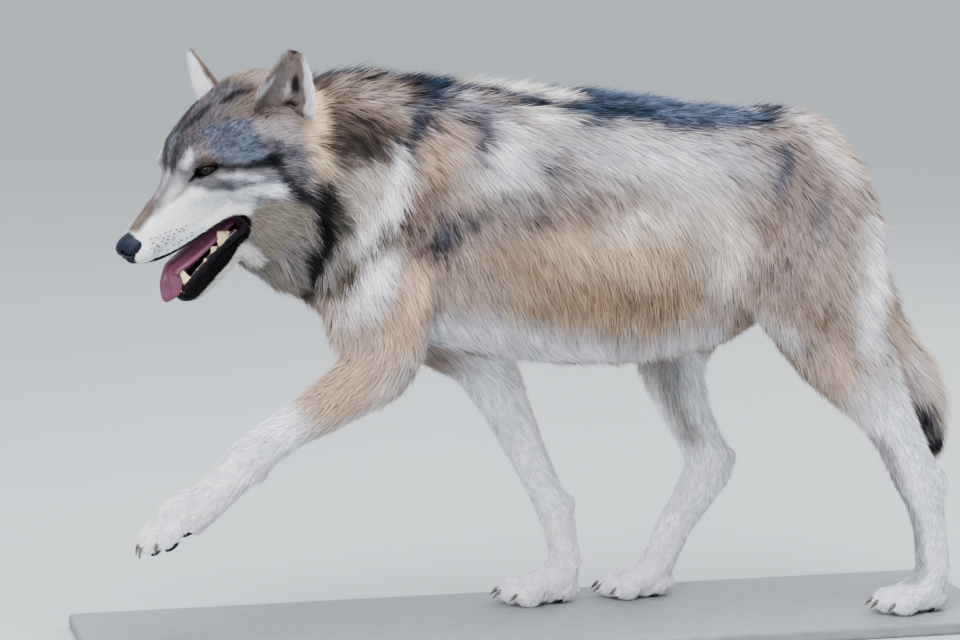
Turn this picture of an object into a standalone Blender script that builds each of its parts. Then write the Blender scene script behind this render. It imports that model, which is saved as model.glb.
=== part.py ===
"""A walking grey wolf, life size, as a still museum model on a plain flat base.

The wolf faces -X and its left side faces -Y. +Z is up, and the origin is the centre of the base's
underside. The sizes are those of the coat's outer surface. The body is made whole from lofted limbs
and rounded masses, fused into one surface and then parted with thin cuts into its named pieces.
"""

import math

import bmesh
import bpy
from mathutils import Euler, Matrix, Vector

# Base plate
BASE_LENGTH = 1.24
BASE_WIDTH = 0.32
BASE_THICKNESS = 0.018
BASE_EDGE = 0.004

# Gaps and mesh fineness
GAP = 0.0003
FUSE_VOXEL = 0.0034
HEAD_TRIANGLES = 1420
PAW_TRIANGLES = 620
BODY_TRIANGLES = 1560
RING_SIDES = 28
CUTTER_SIDES = 8
STEPS_BETWEEN_STATIONS = 4

# Head placement: nose tip, turn towards the left, nose down
NOSE_TIP = Vector((-0.583, -0.100, 0.561))
HEAD_TURN = math.radians(21)
HEAD_DIP = math.radians(28)
HEAD = Matrix.Translation(NOSE_TIP) @ Euler((0, -HEAD_DIP, HEAD_TURN), "XYZ").to_matrix().to_4x4()

HEAD_INVERSE = HEAD.inverted()

# Lower jaw, hinged open about the jaw joint
JAW_JOINT = Vector((0.205, 0, -0.020))
JAW_OPEN = math.radians(17)
JAW = HEAD @ Matrix.Translation(JAW_JOINT) @ Matrix.Rotation(-JAW_OPEN, 4, "Y")

# Eyes, in the head's frame: x back from the nose tip, y to the right, z up
EYE_CENTRE = Vector((0.147, 0.0375, 0.0265))
EYE_RADIUS = 0.0125

EYE_OPENING = (0.0105, 0.0140, 0.0075)
GAZE = Vector((-0.62, 0.72, 0.26)).normalized()
CORNEA_RISE = 0.0018

# Ears: the base's middle, the tip, and the way the opening faces, with y out from the midline.
# The left ear is turned back and the right one forward.
EARS = {
    "ear_left": (Vector((0.254, 0.070, 0.054)), Vector((0.299, 0.098, 0.118)), Vector((-0.60, 0.77, 0.19))),
    "ear_right": (Vector((0.240, 0.070, 0.060)), Vector((0.257, 0.097, 0.130)), Vector((-0.80, 0.52, 0.25))),
}
EAR_THICKNESS = 0.0065
# Along the ear: share of its height, reach of its inner edge, reach of its outer edge, depth of its cup
EAR_SHAPE = (
    (-0.22, 0.030, 0.038, 0.026),
    (0.00, 0.034, 0.042, 0.027),
    (0.22, 0.035, 0.041, 0.023),
    (0.45, 0.031, 0.036, 0.018),
    (0.66, 0.024, 0.029, 0.012),
    (0.82, 0.017, 0.021, 0.007),
    (0.93, 0.010, 0.013, 0.004),
    (0.99, 0.004, 0.005, 0.001),
)
EAR_COLUMNS = 10

LEFT = -1
RIGHT = 1

COLOURS = {
    "coat_grey": ((0.36, 0.31, 0.26), 0.9),
    "coat_pale": ((0.72, 0.68, 0.62), 0.9),
    "coat_dark": ((0.12, 0.11, 0.11), 0.9),
    "nose_leather": ((0.02, 0.02, 0.022), 0.45),
    "eye_amber": ((0.25, 0.14, 0.04), 0.1),
    "tongue_pink": ((0.45, 0.14, 0.18), 0.4),
    "stand_grey": ((0.30, 0.30, 0.30), 0.5),
}

# The trunk's stations: x, top, bottom, half width
TRUNK = (
    (-0.270, 0.768, 0.452, 0.092),
    (-0.205, 0.766, 0.412, 0.103),
    (-0.135, 0.753, 0.390, 0.106),
    (-0.050, 0.747, 0.377, 0.112),
    (0.035, 0.742, 0.366, 0.119),
    (0.105, 0.733, 0.361, 0.119),
    (0.170, 0.728, 0.366, 0.110),
    (0.235, 0.725, 0.392, 0.098),
    (0.300, 0.719, 0.440, 0.088),
    (0.360, 0.694, 0.490, 0.080),
    (0.415, 0.655, 0.530, 0.062),
    (0.450, 0.618, 0.560, 0.035),
)

# A limb's stations: (x, y, z) of its centre line, then the radius along the limb's plane, the radius
# across it, and the section's squareness, where 2 is an ellipse
NECK = (
    ((-0.425, -0.040, 0.672), 0.066, 0.062, 2.0),
    ((-0.385, -0.028, 0.652), 0.108, 0.086, 2.0),
    ((-0.345, -0.018, 0.634), 0.138, 0.099, 2.0),
    ((-0.300, -0.008, 0.620), 0.154, 0.105, 2.0),
    ((-0.240, 0.000, 0.608), 0.158, 0.102, 2.0),
    ((-0.180, 0.000, 0.595), 0.150, 0.090, 2.0),
)
TAIL = (
    ((0.375, 0.000, 0.655), 0.030, 0.032, 2.0),
    ((0.413, 0.001, 0.612), 0.036, 0.038, 2.0),
    ((0.440, 0.004, 0.555), 0.034, 0.036, 2.0),
    ((0.456, 0.008, 0.490), 0.034, 0.036, 2.0),
    ((0.472, 0.010, 0.430), 0.035, 0.037, 2.0),
    ((0.492, 0.011, 0.378), 0.037, 0.038, 2.0),
    ((0.519, 0.010, 0.325), 0.038, 0.038, 2.0),
    ((0.541, 0.008, 0.275), 0.034, 0.034, 2.0),
    ((0.555, 0.006, 0.235), 0.022, 0.022, 2.0),
    ((0.563, 0.004, 0.210), 0.008, 0.008, 2.0),
)
FORELEG_LEFT = (
    ((-0.200, -0.075, 0.600), 0.070, 0.030, 2.0),
    ((-0.232, -0.080, 0.520), 0.082, 0.040, 2.0),
    ((-0.235, -0.083, 0.450), 0.076, 0.042, 2.0),
    ((-0.232, -0.085, 0.395), 0.056, 0.040, 2.0),
    ((-0.262, -0.085, 0.363), 0.043, 0.036, 2.0),
    ((-0.315, -0.084, 0.330), 0.034, 0.031, 2.0),
    ((-0.362, -0.083, 0.302), 0.029, 0.027, 2.2),
    ((-0.406, -0.083, 0.271), 0.030, 0.028, 2.2),
    ((-0.440, -0.083, 0.238), 0.027, 0.028, 2.2),
    ((-0.472, -0.083, 0.207), 0.026, 0.031, 2.2),
    ((-0.494, -0.083, 0.186), 0.022, 0.029, 2.2),
)
FORELEG_RIGHT = (
    ((-0.150, 0.070, 0.590), 0.070, 0.030, 2.0),
    ((-0.175, 0.078, 0.500), 0.078, 0.040, 2.0),
    ((-0.135, 0.082, 0.430), 0.070, 0.042, 2.0),
    ((-0.070, 0.082, 0.375), 0.052, 0.040, 2.0),
    ((-0.035, 0.082, 0.315), 0.039, 0.034, 2.0),
    ((-0.005, 0.082, 0.250), 0.031, 0.029, 2.0),
    ((0.026, 0.082, 0.185), 0.026, 0.026, 2.2),
    ((0.045, 0.082, 0.145), 0.027, 0.027, 2.2),
    ((0.055, 0.082, 0.105), 0.023, 0.026, 2.2),
    ((0.058, 0.081, 0.070), 0.025, 0.029, 2.2),
    ((0.046, 0.080, 0.046), 0.024, 0.030, 2.2),
)
HINDLEG_LEFT = (
    ((0.320, -0.055, 0.640), 0.060, 0.030, 2.0),
    ((0.352, -0.062, 0.570), 0.105, 0.045, 2.0),
    ((0.366, -0.072, 0.490), 0.106, 0.052, 2.0),
    ((0.386, -0.080, 0.420), 0.083, 0.048, 2.0),
    ((0.418, -0.083, 0.362), 0.063, 0.040, 2.0),
    ((0.452, -0.084, 0.312), 0.045, 0.033, 2.0),
    ((0.482, -0.084, 0.262), 0.035, 0.028, 2.0),
    ((0.508, -0.084, 0.208), 0.034, 0.026, 2.2),
    ((0.524, -0.084, 0.165), 0.028, 0.025, 2.2),
    ((0.533, -0.084, 0.120), 0.025, 0.025, 2.2),
    ((0.537, -0.084, 0.078), 0.025, 0.027, 2.2),
    ((0.526, -0.084, 0.048), 0.024, 0.029, 2.2),
)
HINDLEG_RIGHT = (
    ((0.320, 0.055, 0.640), 0.060, 0.030, 2.0),
    ((0.318, 0.062, 0.560), 0.100, 0.045, 2.0),
    ((0.268, 0.074, 0.470), 0.090, 0.050, 2.0),
    ((0.220, 0.082, 0.400), 0.070, 0.044, 2.0),
    ((0.212, 0.084, 0.342), 0.050, 0.036, 2.0),
    ((0.228, 0.084, 0.288), 0.038, 0.030, 2.0),
    ((0.252, 0.084, 0.238), 0.033, 0.027, 2.0),
    ((0.266, 0.084, 0.198), 0.036, 0.026, 2.2),
    ((0.244, 0.084, 0.158), 0.030, 0.025, 2.2),
    ((0.218, 0.084, 0.118), 0.026, 0.025, 2.2),
    ((0.200, 0.086, 0.078), 0.025, 0.027, 2.2),
    ((0.184, 0.088, 0.046), 0.023, 0.029, 2.2),
)

# The head's stations run back from the nose tip: x, top, bottom, half width, squareness
SNOUT = (
    (0.008, -0.007, -0.033, 0.013, 2.2),
    (0.022, 0.000, -0.038, 0.021, 2.3),
    (0.045, 0.007, -0.045, 0.028, 2.4),
    (0.075, 0.017, -0.047, 0.0315, 2.5),
    (0.105, 0.029, -0.047, 0.036, 2.5),
    (0.135, 0.048, -0.047, 0.043, 2.3),
    (0.165, 0.066, -0.050, 0.048, 2.1),
)
SKULL = (
    (0.118, 0.040, -0.020, 0.034, 2.2),
    (0.138, 0.064, -0.035, 0.050, 2.2),
    (0.165, 0.083, -0.044, 0.062, 2.1),
    (0.200, 0.096, -0.062, 0.072, 2.0),
    (0.235, 0.100, -0.085, 0.078, 2.0),
    (0.270, 0.092, -0.085, 0.078, 2.0),
    (0.310, 0.065, -0.070, 0.070, 2.0),
)

# The mandible's stations in the jaw's frame: x, top, bottom, half width, squareness
MANDIBLE = (
    (-0.177, -0.029, -0.050, 0.014, 2.0),
    (-0.164, -0.026, -0.061, 0.021, 2.2),
    (-0.142, -0.026, -0.066, 0.0235, 2.3),
    (-0.105, -0.028, -0.069, 0.027, 2.3),
    (-0.060, -0.033, -0.070, 0.035, 2.2),
    (-0.030, -0.036, -0.073, 0.043, 2.0),
    (0.005, -0.012, -0.074, 0.050, 2.0),
    (0.025, 0.000, -0.072, 0.050, 2.0),
)
# The mouth's hollows: the palate in the head's frame and the floor in the jaw's frame
PALATE = (
    (0.032, -0.037, -0.090, 0.010, 2.4),
    (0.050, -0.036, -0.090, 0.0165, 2.4),
    (0.090, -0.036, -0.080, 0.0210, 2.4),
    (0.130, -0.036, -0.070, 0.0260, 2.4),
    (0.178, -0.034, -0.052, 0.0260, 2.4),
)
MOUTH_FLOOR = (
    (-0.172, 0.020, -0.033, 0.006, 2.4),
    (-0.155, 0.020, -0.036, 0.0135, 2.4),
    (-0.105, 0.015, -0.039, 0.0175, 2.4),
    (-0.060, 0.010, -0.039, 0.0230, 2.4),
    (-0.025, 0.000, -0.034, 0.0260, 2.4),
)
# The tongue lies on the jaw and hangs over its front: centre, half thickness, half width
TONGUE = (
    ((-0.008, 0.000, -0.026), 0.0060, 0.0190),
    ((-0.035, 0.000, -0.024), 0.0065, 0.0210),
    ((-0.075, 0.000, -0.019), 0.0060, 0.0205),
    ((-0.115, -0.001, -0.014), 0.0050, 0.0185),
    ((-0.145, -0.002, -0.0105), 0.0045, 0.0140),
    ((-0.160, -0.003, -0.0095), 0.0045, 0.0120),
    ((-0.177, -0.004, -0.0110), 0.0042, 0.0150),
    ((-0.188, -0.006, -0.0190), 0.0040, 0.0175),
    ((-0.192, -0.008, -0.0310), 0.0038, 0.0165),
    ((-0.190, -0.009, -0.0420), 0.0030, 0.0100),
)
NOSE_BALLS = (
    ((0.0185, 0.000, -0.0120), (0.0195, 0.0190, 0.0145)),
    ((0.0165, 0.010, -0.0155), (0.0145, 0.0115, 0.0120)),
    ((0.0165, -0.010, -0.0155), (0.0145, 0.0115, 0.0120)),
    ((0.0175, 0.000, -0.0280), (0.0120, 0.0080, 0.0110)),
)
NOSTRIL = ((0.0045, 0.0090, -0.0150), (0.0060, 0.0036, 0.0044))

# Rounded masses of the head, in its frame: centre (x, y, z), radii; each stands on both sides
HEAD_MASSES = (
    ((0.208, 0.044, -0.010), (0.058, 0.036, 0.048)),
    ((0.245, 0.052, -0.020), (0.055, 0.040, 0.062)),
    ((0.141, 0.028, 0.046), (0.027, 0.018, 0.012)),
    ((0.135, 0.030, 0.004), (0.036, 0.013, 0.016)),
    ((0.035, 0.014, -0.026), (0.030, 0.014, 0.017)),
    ((0.208, 0.038, -0.054), (0.030, 0.018, 0.024)),
)

# Rounded masses of the body: centre, radii, pitch in degrees about Y
BODY_MASSES = (
    ((-0.188, -0.060, 0.590), (0.074, 0.050, 0.125), 12),
    ((-0.160, 0.060, 0.588), (0.074, 0.050, 0.125), 4),
    ((-0.255, 0.000, 0.500), (0.060, 0.070, 0.060), 0),
    ((0.060, 0.000, 0.420), (0.160, 0.080, 0.058), 0),
    ((0.335, 0.000, 0.635), (0.100, 0.085, 0.075), 10),
    ((0.545, -0.084, 0.200), (0.014, 0.014, 0.026), -20),
    ((0.294, 0.084, 0.203), (0.014, 0.014, 0.026), 20),
    ((0.066, 0.082, 0.158), (0.013, 0.012, 0.014), 0),
    ((-0.392, -0.083, 0.247), (0.014, 0.012, 0.014), 0),
)


def material(name):
    """A plain finish for a piece, from the table of colours."""
    found = bpy.data.materials.get(name)
    if found:
        return found
    colour, roughness = COLOURS[name]
    made = bpy.data.materials.new(name)
    made.use_nodes = True
    shader = made.node_tree.nodes["Principled BSDF"]
    shader.inputs["Base Color"].default_value = (*colour, 1)
    shader.inputs["Roughness"].default_value = roughness
    return made


def add_object(name, mesh, finish, collection):
    made = bpy.data.objects.new(name, mesh)
    if finish:
        mesh.materials.append(material(finish))
    collection.objects.link(made)
    return made


def mesh_from(name, shape):
    """The mesh of a bmesh, with its faces pointing out."""
    bmesh.ops.recalc_face_normals(shape, faces=shape.faces)
    mesh = bpy.data.meshes.new(name)
    shape.to_mesh(mesh)
    shape.free()
    return mesh


def smooth_between(values, share):
    """A Catmull-Rom value between the middle two of four values."""
    a, b, c, d = values
    return 0.5 * (
        2 * b
        + (c - a) * share
        + (2 * a - 5 * b + 4 * c - d) * share**2
        + (3 * b - a - 3 * c + d) * share**3
    )


def refine(rows, steps=STEPS_BETWEEN_STATIONS):
    """Rows of numbers with smooth steps added between them."""
    padded = [rows[0], *rows, rows[-1]]
    fine = []
    for i in range(len(rows) - 1):
        for step in range(steps):
            share = step / steps
            fine.append([smooth_between(v, share) for v in zip(*padded[i : i + 4])])
    fine.append(list(rows[-1]))
    return fine


def power(value, exponent):
    return math.copysign(abs(value) ** exponent, value)


def add_loft(shape, rows, place, sides=RING_SIDES, steps=STEPS_BETWEEN_STATIONS):
    """Adds a closed tube through the rows: centre x, y, z, radius in the plane, radius across, squareness.
    Its ends are rounded off by half a radius."""
    fine = refine(rows, steps)
    centres = [Vector(row[:3]) for row in fine]
    rings = []
    for i, row in enumerate(fine):
        along = (centres[min(i + 1, len(fine) - 1)] - centres[max(i - 1, 0)]).normalized()
        across = Vector((0, 1, 0))
        across = (across - along * across.dot(along)).normalized()
        up = along.cross(across)
        ring = []
        for side in range(sides):
            angle = 2 * math.pi * side / sides
            exponent = 2 / row[5]
            point = centres[i] + up * (row[3] * power(math.cos(angle), exponent))
            point += across * (row[4] * power(math.sin(angle), exponent))
            ring.append(shape.verts.new(place @ point))
        rings.append(ring)
    for first, second in zip(rings, rings[1:]):
        for side in range(sides):
            after = (side + 1) % sides
            shape.faces.new((first[side], first[after], second[after], second[side]))
    for ring, end, inner in ((rings[0], 0, 1), (rings[-1], -1, -2)):
        outward = (centres[end] - centres[inner]).normalized()
        tip = centres[end] + outward * (0.5 * min(fine[end][3], fine[end][4]))
        peak = shape.verts.new(place @ tip)
        for side in range(sides):
            shape.faces.new((ring[side], ring[(side + 1) % sides], peak))


def limb_rows(stations):
    return [(*centre, deep, wide, square) for centre, deep, wide, square in stations]


def level_rows(stations):
    """Rows for a loft along X whose stations give their top and bottom: x, top, bottom, half width, squareness."""
    return [
        (x, 0, (top + bottom) / 2, (top - bottom) / 2, wide, square)
        for x, top, bottom, wide, square in stations
    ]


def add_ball(shape, centre, radii, place=Matrix(), pitch=0, segments=20, rings=12):
    turn = Matrix.Rotation(math.radians(pitch), 4, "Y")
    scale = Matrix.Diagonal((*radii, 1))
    where = place @ Matrix.Translation(centre) @ turn @ scale
    bmesh.ops.create_uvsphere(shape, u_segments=segments, v_segments=rings, radius=1, matrix=where)


def add_spike(shape, root, tip, radius, sides=4, bend=Vector()):
    """Adds a pointed tooth or claw from root to tip that bows by the vector bend halfway."""
    along = (tip - root).normalized()
    across = along.orthogonal().normalized()
    up = along.cross(across)
    rings = []
    for share, width in ((0, 1.0), (0.6, 0.72)):
        centre = root.lerp(tip, share) + bend * (4 * share * (1 - share))
        ring = []
        for side in range(sides):
            angle = 2 * math.pi * side / sides
            out = across * math.cos(angle) + up * math.sin(angle)
            ring.append(shape.verts.new(centre + out * (radius * width)))
        rings.append(ring)
    for first, second in zip(rings, rings[1:]):
        for side in range(sides):
            after = (side + 1) % sides
            shape.faces.new((first[side], first[after], second[after], second[side]))
    peak = shape.verts.new(tip)
    for side in range(sides):
        shape.faces.new((rings[-1][side], rings[-1][(side + 1) % sides], peak))
    shape.faces.new(rings[0])


# Paws. A paw's frame: -x forward along the toes, y to the right, z up from the sole.
TOES = (
    ((-0.030, -0.0265, 0.015), (0.021, 0.0125, 0.0160)),
    ((-0.047, -0.0098, 0.017), (0.023, 0.0125, 0.0175)),
    ((-0.047, 0.0098, 0.017), (0.023, 0.0125, 0.0175)),
    ((-0.030, 0.0265, 0.015), (0.021, 0.0125, 0.0160)),
)
CLAW_LENGTH = 0.0145
CLAW_RADIUS = 0.0036


def paw_frame(heel, pitch, yaw=0):
    """A paw's matrix: its heel, how far its toes point down, and how far they turn, in degrees."""
    turn = Euler((0, math.radians(-pitch), math.radians(yaw)), "XYZ").to_matrix().to_4x4()
    return Matrix.Translation(heel) @ turn


PAWS = {
    "foreleg_left": (paw_frame((-0.484, -0.083, 0.184), 34, 3), 1.06),
    "foreleg_right": (paw_frame((0.037, 0.080, BASE_THICKNESS), 0, -3), 1.06),
    "hindleg_left": (paw_frame((0.520, -0.084, BASE_THICKNESS), 0, 2), 1.0),
    "hindleg_right": (paw_frame((0.178, 0.088, BASE_THICKNESS), 0, -4), 1.0),
}


def add_paw(shape, frame, size):
    place = frame @ Matrix.Scale(size, 4)
    for centre, radii in TOES:
        add_ball(shape, centre, radii, place, pitch=-12)
    add_ball(shape, (-0.006, 0, 0.024), (0.040, 0.0290, 0.022), place, pitch=-8)
    add_ball(shape, (0.012, 0, 0.018), (0.030, 0.0260, 0.020), place)
    add_ball(shape, (-0.004, 0, 0.010), (0.024, 0.0240, 0.012), place)


def add_claws(shape, frame, size):
    place = frame @ Matrix.Scale(size, 4)
    for (x, y, z), radii in TOES:
        root = place @ Vector((x - radii[0] * 0.65, y, z + 0.001))
        tip = place @ Vector((x - radii[0] * 0.65 - CLAW_LENGTH, y * 1.06, z - 0.0085))
        bow = place.to_3x3() @ Vector((0, 0, 0.0028))
        add_spike(shape, root, tip, CLAW_RADIUS, bend=bow)


# Teeth: x along the jaw, y, how far it stands out, radius, and slant of the tip forward
UPPER_TEETH = (
    (0.0300, 0.0036, 0.0060, 0.0026, 0.000),
    (0.0315, 0.0092, 0.0065, 0.0027, 0.000),
    (0.0350, 0.0142, 0.0080, 0.0033, 0.001),
    (0.0480, 0.0185, 0.0180, 0.0046, 0.003),
    (0.0720, 0.0215, 0.0060, 0.0034, 0.000),
    (0.0880, 0.0235, 0.0075, 0.0042, 0.000),
    (0.1030, 0.0260, 0.0085, 0.0048, 0.000),
    (0.1200, 0.0285, 0.0115, 0.0064, 0.001),
)
UPPER_GUM = -0.037
LOWER_TEETH = (
    (-0.1725, 0.0030, 0.0075, 0.0022, 0.002),
    (-0.1720, 0.0076, 0.0080, 0.0024, 0.002),
    (-0.1690, 0.0118, 0.0085, 0.0027, 0.002),
    (-0.1610, 0.0168, 0.0190, 0.0050, -0.002),
    (-0.1400, 0.0180, 0.0050, 0.0032, 0.000),
    (-0.1240, 0.0190, 0.0075, 0.0042, 0.000),
    (-0.1070, 0.0205, 0.0095, 0.0048, 0.000),
    (-0.0860, 0.0235, 0.0130, 0.0070, 0.001),
)
LOWER_GUM = -0.032


def add_teeth(shape, rows, gum, place, direction):
    """Adds both sides' teeth. direction is -1 where they hang down and 1 where they stand up."""
    for x, y, height, radius, slant in rows:
        for side in (LEFT, RIGHT):
            root = place @ Vector((x, side * y, gum - direction * 0.004))
            tip = place @ Vector((x - slant, side * (y + 0.001), gum + direction * height))
            add_spike(shape, root, tip, radius)


def flesh_cage():
    """The body's overlapping lofts and masses, in one mesh."""
    shape = bmesh.new()
    here = Matrix()
    add_loft(shape, level_rows([(*row, 2.1) for row in TRUNK]), here)
    for stations in (NECK, TAIL, FORELEG_LEFT, FORELEG_RIGHT, HINDLEG_LEFT, HINDLEG_RIGHT):
        add_loft(shape, limb_rows(stations), here)
    for centre, radii, pitch in BODY_MASSES:
        add_ball(shape, centre, radii, here, pitch)
    for frame, size in PAWS.values():
        add_paw(shape, frame, size)
    add_loft(shape, level_rows(SNOUT), HEAD)
    add_loft(shape, level_rows(SKULL), HEAD)
    add_loft(shape, level_rows(MANDIBLE), JAW)
    for centre, radii in HEAD_MASSES:
        for side in (LEFT, RIGHT):
            add_ball(shape, (centre[0], side * centre[1], centre[2]), radii, HEAD)
    return mesh_from("flesh_cage", shape)


def evaluated_mesh(name, source):
    """The object's mesh with its modifiers applied."""
    bpy.context.view_layer.update()
    graph = bpy.context.evaluated_depsgraph_get()
    mesh = bpy.data.meshes.new_from_object(source.evaluated_get(graph))
    mesh.name = name
    return mesh


def in_head(point):
    place = HEAD_INVERSE @ point
    return place.x < 0.26 and abs(place.y) < 0.13 and -0.15 < place.z < 0.15


def in_paw(point):
    return any((frame.translation - point).length < 0.085 for frame, size in PAWS.values())


def in_body(point):
    return not in_head(point) and not in_paw(point)


def anywhere(point):
    return True


def fused(name, mesh, voxel, smoothing, shares):
    """One closed surface round a mesh of overlapping bodies, smoothed, then thinned out region by
    region. Each share is a test for a region's points and the triangles that the region keeps."""
    work = bpy.data.objects.new(name + "_work", mesh)
    bpy.context.scene.collection.objects.link(work)
    remesh = work.modifiers.new("fuse", "REMESH")
    remesh.mode = "VOXEL"
    remesh.voxel_size = voxel
    soften = work.modifiers.new("soften", "SMOOTH")
    soften.factor = 0.5
    soften.iterations = smoothing
    triangles = work.modifiers.new("triangles", "TRIANGULATE")
    triangles.quad_method = "BEAUTY"
    work.data = evaluated_mesh(name, work)
    for inside, kept in shares:
        work.modifiers.clear()
        faces = work.data.polygons
        count = sum(1 for face in faces if inside(face.center))
        work.vertex_groups.clear()
        group = work.vertex_groups.new(name="thinned")
        group.add([v.index for v in work.data.vertices if inside(v.co)], 1.0, "REPLACE")
        thin = work.modifiers.new("thin", "DECIMATE")
        thin.ratio = (len(faces) - count + kept) / len(faces)
        thin.use_collapse_triangulate = True
        thin.vertex_group = group.name
        work.data = evaluated_mesh(name, work)
    result = work.data
    bpy.data.objects.remove(work)
    return result


def cutter(name, mesh, collection):
    made = bpy.data.objects.new(name, mesh)
    made.hide_render = True
    made.display_type = "WIRE"
    collection.objects.link(made)
    return made


def grown_copy(name, mesh, distance, collection):
    """A cutter a little larger than a mesh, which leaves a gap of that size."""
    made = cutter(name, mesh, collection)
    push = made.modifiers.new("grow", "DISPLACE")
    push.strength = distance
    push.mid_level = 0
    return made


def shaped(name, mesh, operation, others):
    """A mesh after one Boolean step with each of the other objects in turn."""
    work = bpy.data.objects.new(name + "_work", mesh)
    bpy.context.scene.collection.objects.link(work)
    for other in others:
        step = work.modifiers.new("with_" + other.name, "BOOLEAN")
        step.operation = operation
        step.object = other
        step.solver = "EXACT"
    result = evaluated_mesh(name, work)
    bpy.data.objects.remove(work)
    return result


def box_mesh(name, region, grow=0.0):
    """A box from its frame and its corners in that frame, grown on every side."""
    place, low, high = region
    low = Vector(low) - Vector((grow, grow, grow))
    high = Vector(high) + Vector((grow, grow, grow))
    shape = bmesh.new()
    where = place @ Matrix.Translation((low + high) / 2) @ Matrix.Diagonal((*(high - low), 1))
    bmesh.ops.create_cube(shape, size=1, matrix=where)
    return mesh_from(name, shape)


def leg_box(x, side, z, pitch, length, ahead, behind):
    """A box below a leg's cut: it runs down along the leg, on one side of the body."""
    frame = Matrix.Translation((x, 0, z)) @ Matrix.Rotation(math.radians(pitch), 4, "Y")
    inner, outer = sorted((side * 0.012, side * 0.2))
    return frame, (-ahead, inner, -length), (behind, outer, 0)


# The boxes that part the body, in the order they cut: frame, low corner, high corner
REGIONS = {
    "jaw": (JAW, (-0.22, -0.07, -0.12), (-0.052, 0.07, -0.0165)),
    "head": (HEAD, (-0.03, -0.15, -0.135), (0.240, 0.15, 0.20)),
    "neck": (
        Matrix.Translation((-0.235, 0, 0.60)) @ Matrix.Rotation(math.radians(16), 4, "Y"),
        (-0.40, -0.2, -0.195),
        (0, 0.2, 0.30),
    ),
    "tail": (
        Matrix.Translation((0.436, 0, 0.585)) @ Matrix.Rotation(math.radians(-16), 4, "Y"),
        (-0.045, -0.031, -0.42),
        (0.14, 0.060, 0),
    ),
    "foreleg_left": leg_box(-0.232, LEFT, 0.405, 50, 0.46, 0.14, 0.10),
    "hindleg_left": leg_box(0.375, LEFT, 0.445, -30, 0.50, 0.20, 0.20),
    "hindleg_right": leg_box(0.215, RIGHT, 0.378, 0, 0.40, 0.120, 0.20),
    "foreleg_right": leg_box(-0.075, RIGHT, 0.372, -20, 0.42, 0.13, 0.20),
}


def mouth_mesh():
    shape = bmesh.new()
    add_loft(shape, level_rows(PALATE), HEAD, CUTTER_SIDES, 1)
    return mesh_from("palate_cut", shape)


def mouth_floor_mesh():
    shape = bmesh.new()
    add_loft(shape, level_rows(MOUTH_FLOOR), JAW, CUTTER_SIDES, 1)
    return mesh_from("mouth_floor_cut", shape)


def side_matrix(side):
    """The head's frame, mirrored for the left side."""
    return HEAD @ Matrix.Diagonal((1, 1 if side == RIGHT else -1, 1, 1))


def eye_mesh(name, side):
    """An eyeball with its cornea bulging along the gaze."""
    shape = bmesh.new()
    turn = GAZE.to_track_quat("Z", "Y").to_matrix().to_4x4()
    place = side_matrix(side) @ Matrix.Translation(EYE_CENTRE) @ turn
    bmesh.ops.create_uvsphere(shape, u_segments=10, v_segments=8, radius=EYE_RADIUS)
    for vertex in shape.verts:
        share = max(0, vertex.co.z / EYE_RADIUS - 0.80) / 0.20
        vertex.co.z += CORNEA_RISE * share**0.8
    bmesh.ops.transform(shape, matrix=place, verts=shape.verts)
    return mesh_from(name, shape)


def eye_opening_mesh(side):
    """The almond-shaped gap between the lids."""
    shape = bmesh.new()
    forward = GAZE
    across = Vector((0.74, 0.60, -0.28))
    across = (across - forward * across.dot(forward)).normalized()
    up = forward.cross(across)
    turn = Matrix((forward, across, up)).transposed().to_4x4()
    where = Matrix.Translation(EYE_CENTRE + forward * (EYE_RADIUS + 0.0005)) @ turn
    add_ball(shape, (0, 0, 0), EYE_OPENING, side_matrix(side) @ where, segments=10, rings=6)
    return mesh_from("eye_opening", shape)


def nose_mesh():
    shape = bmesh.new()
    for centre, radii in NOSE_BALLS:
        add_ball(shape, centre, radii, HEAD)
    return fused("nose", mesh_from("nose_cage", shape), 0.0014, 4, [(anywhere, 150)])


def nostril_mesh():
    shape = bmesh.new()
    (x, y, z), radii = NOSTRIL
    for side in (LEFT, RIGHT):
        add_ball(shape, (x, side * y, z), radii, HEAD, segments=8, rings=5)
    return mesh_from("nostrils", shape)


def tongue_mesh():
    shape = bmesh.new()
    rows = [(*centre, thick, wide, 2.6) for centre, thick, wide in TONGUE]
    add_loft(shape, rows, JAW)
    mesh = mesh_from("tongue_cage", shape)
    return fused("tongue", mesh, 0.0017, 2, [(anywhere, 190)])


def ear_mesh(name, side):
    """A cupped, pointed ear: a curved sheet given its thickness, closed at the rim."""
    foot, tip, facing = EARS[name]
    axis = (tip - foot).normalized()
    height = (tip - foot).length
    facing = (facing - axis * facing.dot(axis)).normalized()
    across = axis.cross(facing)
    if across.x < 0:
        across = -across
    rows = refine([list(row) for row in EAR_SHAPE], 2)
    place = side_matrix(side)
    shape = bmesh.new()
    grid = []
    for share, inner, outer, cup in rows:
        line = []
        for column in range(EAR_COLUMNS + 1):
            t = 2 * column / EAR_COLUMNS - 1
            reach = outer * t if t > 0 else inner * t
            point = foot + axis * (height * share) + across * reach
            point -= facing * (cup * (1 - abs(t) ** 2.2))
            line.append(shape.verts.new(place @ point))
        grid.append(line)
    for low, high in zip(grid, grid[1:]):
        for a, b, c, d in zip(low, low[1:], high[1:], high):
            shape.faces.new((a, b, c, d))
    mesh = bpy.data.meshes.new(name)
    shape.to_mesh(mesh)
    shape.free()
    work = bpy.data.objects.new(name + "_work", mesh)
    bpy.context.scene.collection.objects.link(work)
    shell = work.modifiers.new("thickness", "SOLIDIFY")
    shell.thickness = EAR_THICKNESS
    shell.offset = 0
    sheet = evaluated_mesh(name, work)
    bpy.data.objects.remove(work)
    return fused(name, sheet, 0.0022, 3, [(anywhere, 190)])


def teeth_mesh(name, rows, gum, place, direction):
    shape = bmesh.new()
    add_teeth(shape, rows, gum, place, direction)
    return mesh_from(name, shape)


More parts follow.
